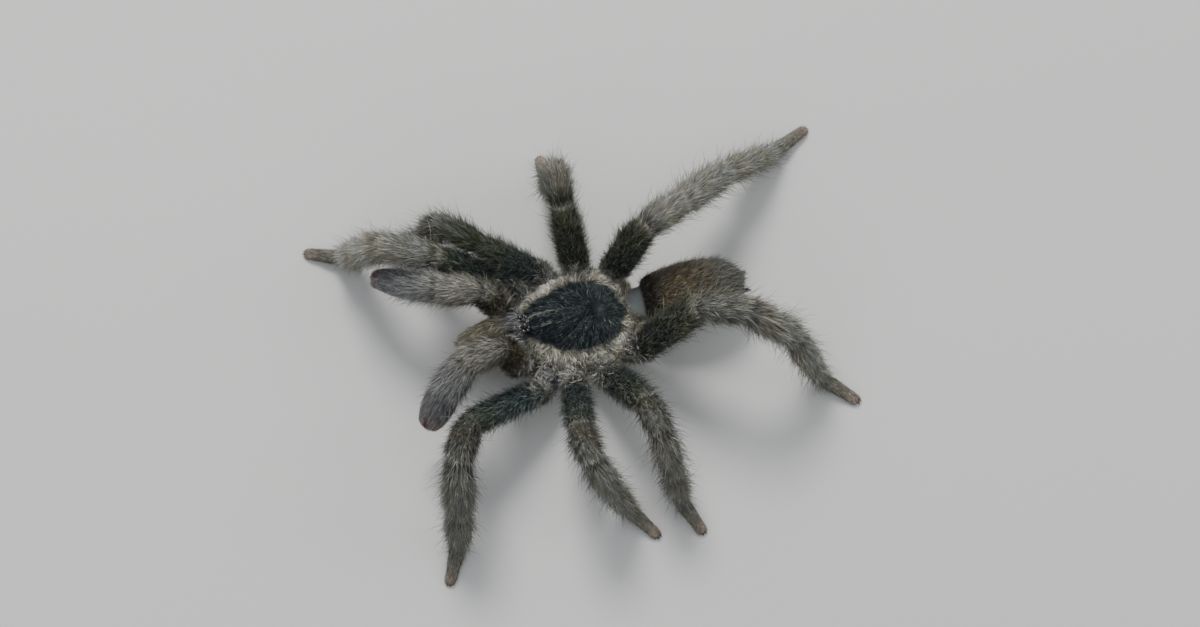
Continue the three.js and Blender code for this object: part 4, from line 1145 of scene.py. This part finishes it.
    if palp:                                         # brown brushes under the patella and femur
        h = roots(SKIN, [name], 5000)
        h.keep((h.x > 1.15) & (h.x < 2.9) & (np.sin(h.phi) < 0.15))
        h.colour = mix(h.colour, C["palp_femur"] * 1.6, 0.75)
        vary(h, 0.5, number, 0.3)
        h.turn(normal(h, 0, 0.2))
        sets.append(strands(h, uniform(h, 1.6, 2.8), uniform(h, 0.06, 0.1), uniform(h, 0.3, 0.7), normal(h, 0.2, 0.2), normal(h, 0, 0.2), [0.7, 1, 0], 0.35, 1.2))
    else:                                            # pads under the foot and two tufts at the claws
        h = roots(SKIN, [name], 26000)
        h.keep((np.sin(h.phi) < -0.15) & (h.x > 4.75) & (RNG.random(len(h.p)) < 0.8))
        h.colour = mix(h.colour, C["toe"] * 0.5, 0.6)
        vary(h, 0.25)
        h.turn(normal(h, 0, 0.4))
        sets.append(strands(h, uniform(h, 0.35, 0.6), uniform(h, 0.05, 0.08), uniform(h, 0.5, 1.3), normal(h, 0.2, 0.2), normal(h, 0, 0.3), [0, 1, 0], 0.5, 1.15))
        h = roots(SKIN, [name], 60000)
        h.keep(h.x > 5.74)
        h.keep(RNG.random(len(h.p)) < 1500 * SHARE / max(1, len(h.p)))
        aside = np.einsum("ij,ij->i", h.p - tube.P[-1], tube.side[h.idx])
        h.lie(tube.T[-1] + tube.side[-1] * (0.6 * np.sign(aside) * smooth(np.abs(aside), 0.0, 0.35))[:, None] - UP * 0.1)
        vary(h, 0.3)
        h.colour = h.colour * 0.9
        h.turn(normal(h, 0, 0.15))
        sets.append(strands(h, uniform(h, 0.5, 0.95), uniform(h, 0.06, 0.09), uniform(h, 0.1, 0.45), normal(h, 0.2, 0.15), normal(h, 0, 0.15), [0.7, 1, 0], 0.5, 1.25))

    h = roots(SKIN, [name], 900 if palp else 1700)   # guard hairs
    h.keep((h.x > 0.9) & (h.x < end - 0.7))
    h.turn(normal(h, 0, 0.3))
    fem = smooth(h.x, 1.0, 1.2) * (1 - smooth(h.x, 1.9, 2.0))
    h.colour = mix(h.colour * 1.15, mix(np.tile(C["frost"], (len(h.p), 1)), C["gold"], RNG.random(len(h.p)) < GOLDEN[name]), 0.35 + 0.35 * fem)
    vary(h, 0.35)
    long = interp(h.x, 0.9, 1.6, 1.3, 1.9, 2, 2.4, 3, 3.0, 4, 3.0, 4.8, 2.5, 5.3, 1.0) * (0.7 if palp else 1.15 if limb[0] == "leg_4" else 1.0)
    sets.append(spikes(h, long * np.clip(RNG.gamma(6, 1 / 6, len(h.p)), 0.4, 1.8), np.full(len(h.p), 0.07), normal(h, 0.82, 0.22), normal(h, 0.35, 0.25)))
    finish_coat("coat_" + name, sets, mats["leg"])

# carapace: short hair that radiates from the pit, pale in streaks
sets = []
h = roots(PLATE, ["carapace"], 50000, weight=1 - PLATE.bare)
h.keep((h.p[:, 2] > 5.0) & (RNG.random(len(h.p)) > 0.85 * fringe_of(h.run, h.phi)))
streak = rays(h.p[:, 0], h.p[:, 1])
streak = streak * (0.3 + 0.7 * smooth(h.p[:, 1] + 0.25 * np.abs(h.p[:, 0] - BODY_X), -3.0, 3.0))
r = np.hypot(h.p[:, 0] - FOVEA[0], h.p[:, 1] - FOVEA[1])
# painted shade in the pit of the carapace
h.colour = h.colour * (1 - 0.4 * np.exp(-((r / 0.8) ** 2)))[:, None]
pale = RNG.random(len(h.p)) < (0.1 + 0.36 * streak) * smooth(r, 0.3, 1.2)
h.colour = np.where(pale[:, None], mix(h.colour, C["shell_pale"], 0.7), h.colour * 0.75)
vary(h, 0.35, 3, 0.25)
h.wide = np.where(pale, 1.4, 1.0)
h.turn(normal(h, 0, 0.16) + 0.25 * wave(h.p, 5, 1.4))
mane = np.exp(-(((h.p[:, 0] - BODY_X) / 2.6) ** 2 + ((h.p[:, 1] - EYE_Y) / 1.9) ** 2))
sets.append(strands(h, uniform(h, 0.5, 1.0) * (1 + 0.3 * mane), uniform(h, 0.035, 0.06), uniform(h, 0.08, 0.3) + 0.5 * mane, normal(h, 0.1, 0.08), normal(h, 0, 0.15), [0, 1, 0], 0.6, 1.2))
# longer golden hairs cross the edge of the dark middle, and some stray on it
h = roots(PLATE, ["carapace"], 30000, weight=1 - PLATE.bare)
ring = np.exp(-((fringe_of(h.run, h.phi) - 0.35) / 0.3) ** 2)
h.keep((h.p[:, 2] > 5.2) & (RNG.random(len(h.p)) < 0.02 + 0.3 * ring * (fringe_of(h.run, h.phi) > 0.02)))
h.colour = mix(C["shell_pale"] * 0.8, C["gold"], uniform(h, 0.0, 0.75) ** 1.5)
vary(h, 0.4, 3, 0.3)
h.turn(normal(h, 0, 0.3) + 0.5 * wave(h.p, 14, 1.2))
sets.append(strands(h, uniform(h, 0.7, 1.8), uniform(h, 0.03, 0.05), uniform(h, 0.05, 0.35), normal(h, 0.15, 0.1), normal(h, 0, 0.5), [0, 1, 0.8, 0], 0.6, 1.15))
# two thin uneven lines of longer hair run back from the eyes
for s in (1, -1):
    m = int((40 if s > 0 else 100) * SHARE)
    y = RNG.uniform(-6.0, -0.5, m)
    x = BODY_X + s * (0.95 - 0.03 * (y + 6)) + 0.13 * np.sin(2.6 * y + s) + 0.06 * np.sin(6.3 * y) + RNG.normal(0, 0.06, m)
    t, a = plan_share(x, y)
    q = np.stack([x, y, carapace_z(x, y, t) - 0.1], 1)
    h = Hair(q, np.tile([0.0, 0.0, 1.0], (m, 1)), np.full(m, PART["carapace"]), ["carapace"])
    h.colour = np.tile(C["cream"] * 0.3 + C["white"] * 0.3, (m, 1))
    vary(h, 0.35)
    h.turn(normal(h, 0, 0.15))
    sets.append(strands(h, uniform(h, 0.7, 1.3), uniform(h, 0.045, 0.07), uniform(h, 0.05, 0.2), normal(h, 0.1, 0.05), normal(h, 0, 0.3), [0, 1, 0.8, 0], 0.7, 1.1))
# whitish hairs that hang over the front edge
h = roots(PLATE, ["carapace"], 90000, weight=smooth(-PLATE.V[:, 1], 7.7, 8.4) * smooth(PLATE.run, 0.8, 0.9) + 1e-6)
h.keep((h.p[:, 1] < -7.6) & (h.p[:, 2] > 4.8))
h.keep(RNG.random(len(h.p)) < 2200 * SHARE / max(1, len(h.p)))
h.lie(np.stack([0.5 * (h.p[:, 0] - BODY_X), np.full(len(h.p), -1.6), np.full(len(h.p), 0.2)], 1))
h.colour = mix(h.colour, C["white"], 0.6)
vary(h, 0.25, 12, 0.3, 0.35, 1.4, 0.6, 1.5)
h.turn(normal(h, 0, 0.4))
sets.append(strands(h, uniform(h, 0.8, 1.5), uniform(h, 0.05, 0.09), uniform(h, 0.2, 0.8), uniform(h, 0.3, 0.9), normal(h, 0, 0.5), [0, 1, 0.8, 0], 0.35, 1.2))
# whitish hairs round the eyes
h = roots(PLATE, ["carapace"], 60000, weight=np.exp(-((eye_mound(PLATE.V) - 1.4) / 0.3) ** 2) * (PLATE.V[:, 2] > 6.5) + 1e-6)
h.keep((eye_mound(h.p) > 1.2) & (h.p[:, 1] < EYE_Y - 0.1 + 0.3 * (RNG.random(len(h.p)) - 0.5)))
h.keep(RNG.random(len(h.p)) < 650 * SHARE / max(1, len(h.p)))
h.colour = mix(h.colour, C["white"] * 0.8, 0.7)
vary(h, 0.3, 9, 0.3, 0.35, 1.5, 0.6, 1.3)
h.turn(normal(h, 0, 0.35))
sets.append(strands(h, uniform(h, 0.5, 1.0), uniform(h, 0.05, 0.07), uniform(h, 0.1, 0.5), normal(h, 0.3, 0.2), normal(h, 0, 0.4), [0, 1, 0.8, 0], 0.35, 1.2))
# a few more stand between the eyes on the right
h = roots(PLATE, ["carapace"], 20000, weight=1.0 * (eye_mound(PLATE.V) < 1.2) * (PLATE.V[:, 0] < BODY_X + 0.4) * (PLATE.V[:, 2] > EYE_Z) + 1e-6)
h.keep((eye_mound(h.p) < 1.25) & (h.p[:, 0] < BODY_X + 0.3) & (h.p[:, 2] > EYE_Z))
h.keep(RNG.random(len(h.p)) < 75 * SHARE / max(1, len(h.p)))
h.lie(np.stack([h.p[:, 0] - BODY_X - 0.6, h.p[:, 1] - EYE_Y - 0.5, np.full(len(h.p), 0.1)], 1))
h.colour = np.tile(C["white"] * 0.75, (len(h.p), 1))
vary(h, 0.3)
h.turn(normal(h, 0, 0.5))
sets.append(strands(h, uniform(h, 0.35, 0.75), uniform(h, 0.035, 0.05), uniform(h, 0.3, 0.9), normal(h, 0.5, 0.2), normal(h, 0, 0.3), [0, 1, 0.8, 0], 0.5, 1.1))
finish_coat("coat_carapace", sets, mats["shell"])

# the cream fringe round the carapace, in curls that lean outwards and back
sets = []
h = roots(PLATE, ["carapace"], 120000, weight=(1 - PLATE.bare) * (fringe_of(PLATE.run, PLATE.phi) + 0.02))
f = fringe_of(h.run, h.phi)
h.keep((RNG.random(len(h.p)) < 0.62 * f) & (h.p[:, 2] > 4.85))
h.keep(RNG.random(len(h.p)) < 30000 * SHARE / max(1, len(h.p)))
back = h.d.copy()
back[:, 1] += 0.75
h.lie(back)
h.turn(1.0 * wave(h.p, 31, 1.8) + normal(h, 0, 0.25))
vary(h, 0.25, 5, 0.4, 0.32, 1.7, 0.5, 1.5)
h.colour = mix(h.colour, C["white"] * 0.8, 0.25 * (RNG.random(len(h.p)) < 0.4))
curly = 0.8 * np.sign(wave(h.p, 32, 1.5)) + normal(h, 0, 0.4)
rear = smooth(h.p[:, 1], 7.6, 9.2)
sets.append(strands(h, uniform(h, 0.9, 1.9) * (1 + 0.4 * rear), uniform(h, 0.065, 0.12), uniform(h, 0.1, 0.5), normal(h, 0.25, 0.2), curly * (1 - 0.6 * rear), [0, 1, 0.8, 0], 0.24, 1.25))
h = roots(PLATE, ["carapace"], 90000, weight=smooth(PLATE.V[:, 1], 7.9, 8.9) * smooth(PLATE.run, 0.84, 0.95) + 1e-6)
h.keep((h.p[:, 1] > 7.9) & (h.p[:, 2] > 4.7))        # over the waist
h.keep(RNG.random(len(h.p)) < 3300 * SHARE / max(1, len(h.p)))
h.lie(np.stack([0.25 * (h.p[:, 0] - BODY_X), np.full(len(h.p), 2.0), np.full(len(h.p), 0.3)], 1))
vary(h, 0.25, 5, 0.3, 0.35, 1.5, 0.6, 1.5)
h.turn(normal(h, 0, 0.3))
sets.append(strands(h, uniform(h, 1.3, 2.9), uniform(h, 0.06, 0.1), uniform(h, 0.1, 0.8), uniform(h, 0.4, 1.1), normal(h, 0, 0.5), [0, 1, 0.8, 0], 0.3, 1.2))
finish_coat("coat_fringe", sets, mats["fringe"])

# abdomen
sets = []
h = roots(SKIN, ["abdomen"], 27000, weight=1 - SKIN.bare)
u = h.run / TUBES["abdomen"].length
vary(h, 0.35, 6, 0.1)
h.colour = h.colour * 0.62
h.turn(normal(h, 0, 0.2))
sets.append(strands(h, interp(u, 0, 0.5, 0.08, 0.8, 0.3, 1.0, 1, 1.1) * uniform(h, 0.6, 1.3), uniform(h, 0.06, 0.1), interp(u, 0, 0.7, 0.1, 0.55, 1, 0.5) * uniform(h, 0.5, 1.4), normal(h, 0.25, 0.2), normal(h, 0, 0.2), [0, 1, 0], 0.4, 1.2))
h = roots(SKIN, ["abdomen"], 15000, weight=1 - SKIN.bare)
u = h.run / TUBES["abdomen"].length
h.colour = h.colour * 1.45
vary(h, 0.25, 6, 0.1, 0.28, 1.7, 0.7, 1.5)
h.turn(normal(h, 0, 0.25))
sets.append(strands(h, interp(u, 0, 0.6, 0.1, 1.0, 0.3, 1.3, 1, 1.6) * uniform(h, 0.6, 1.3), uniform(h, 0.055, 0.085), interp(u, 0, 0.75, 0.1, 0.7, 1, 0.7) * uniform(h, 0.6, 1.3), normal(h, 0.3, 0.2), normal(h, 0, 0.2), [0.7, 1, 0], 0.22, 1.3))
h = roots(SKIN, ["abdomen"], 2000, weight=1 - SKIN.bare)
u = h.run / TUBES["abdomen"].length
h.turn(normal(h, 0, 0.3))
h.colour = mix(h.colour, C["leg"], 0.5)
sets.append(spikes(h, uniform(h, 1.2, 2.1) * (0.8 + 0.6 * u), np.full(len(h.p), 0.075), normal(h, 0.9, 0.2), normal(h, 0.3, 0.2)))
finish_coat("coat_abdomen", sets, mats["body"])

# jaws, underside and spinnerets
names = ["chelicera_left", "chelicera_right", "sternum", "spinneret_left", "spinneret_right"]
sets = []
h = roots(SKIN, names, 17000)
jaw = np.isin(h.which, [PART["chelicera_left"], PART["chelicera_right"]])
vary(h, 0.28, 7, 0.2)
h.colour = h.colour * 0.75
h.turn(normal(h, 0, 0.2))
sets.append(strands(h, np.where(jaw, 1.0, 0.75) * uniform(h, 0.6, 1.3), uniform(h, 0.055, 0.09), uniform(h, 0.1, 0.35), normal(h, 0.2, 0.1), normal(h, 0, 0.12), [0, 1, 0], 0.5, 1.2))
h = roots(SKIN, names, 7000)
jaw = np.isin(h.which, [PART["chelicera_left"], PART["chelicera_right"]])
h.colour = h.colour * 1.3
vary(h, 0.25, 7, 0.15, 0.28, 1.7, 0.65, 1.5)
h.turn(normal(h, 0, 0.2))
sets.append(strands(h, np.where(jaw, 1.9, 1.0) * uniform(h, 0.6, 1.3), uniform(h, 0.06, 0.09), uniform(h, 0.12, 0.35), normal(h, 0.15, 0.1), normal(h, 0, 0.15), [0.7, 1, 0], 0.35, 1.25))
finish_coat("coat_jaws_and_underside", sets, mats["body"])

print("coat triangles", TOTAL[0])
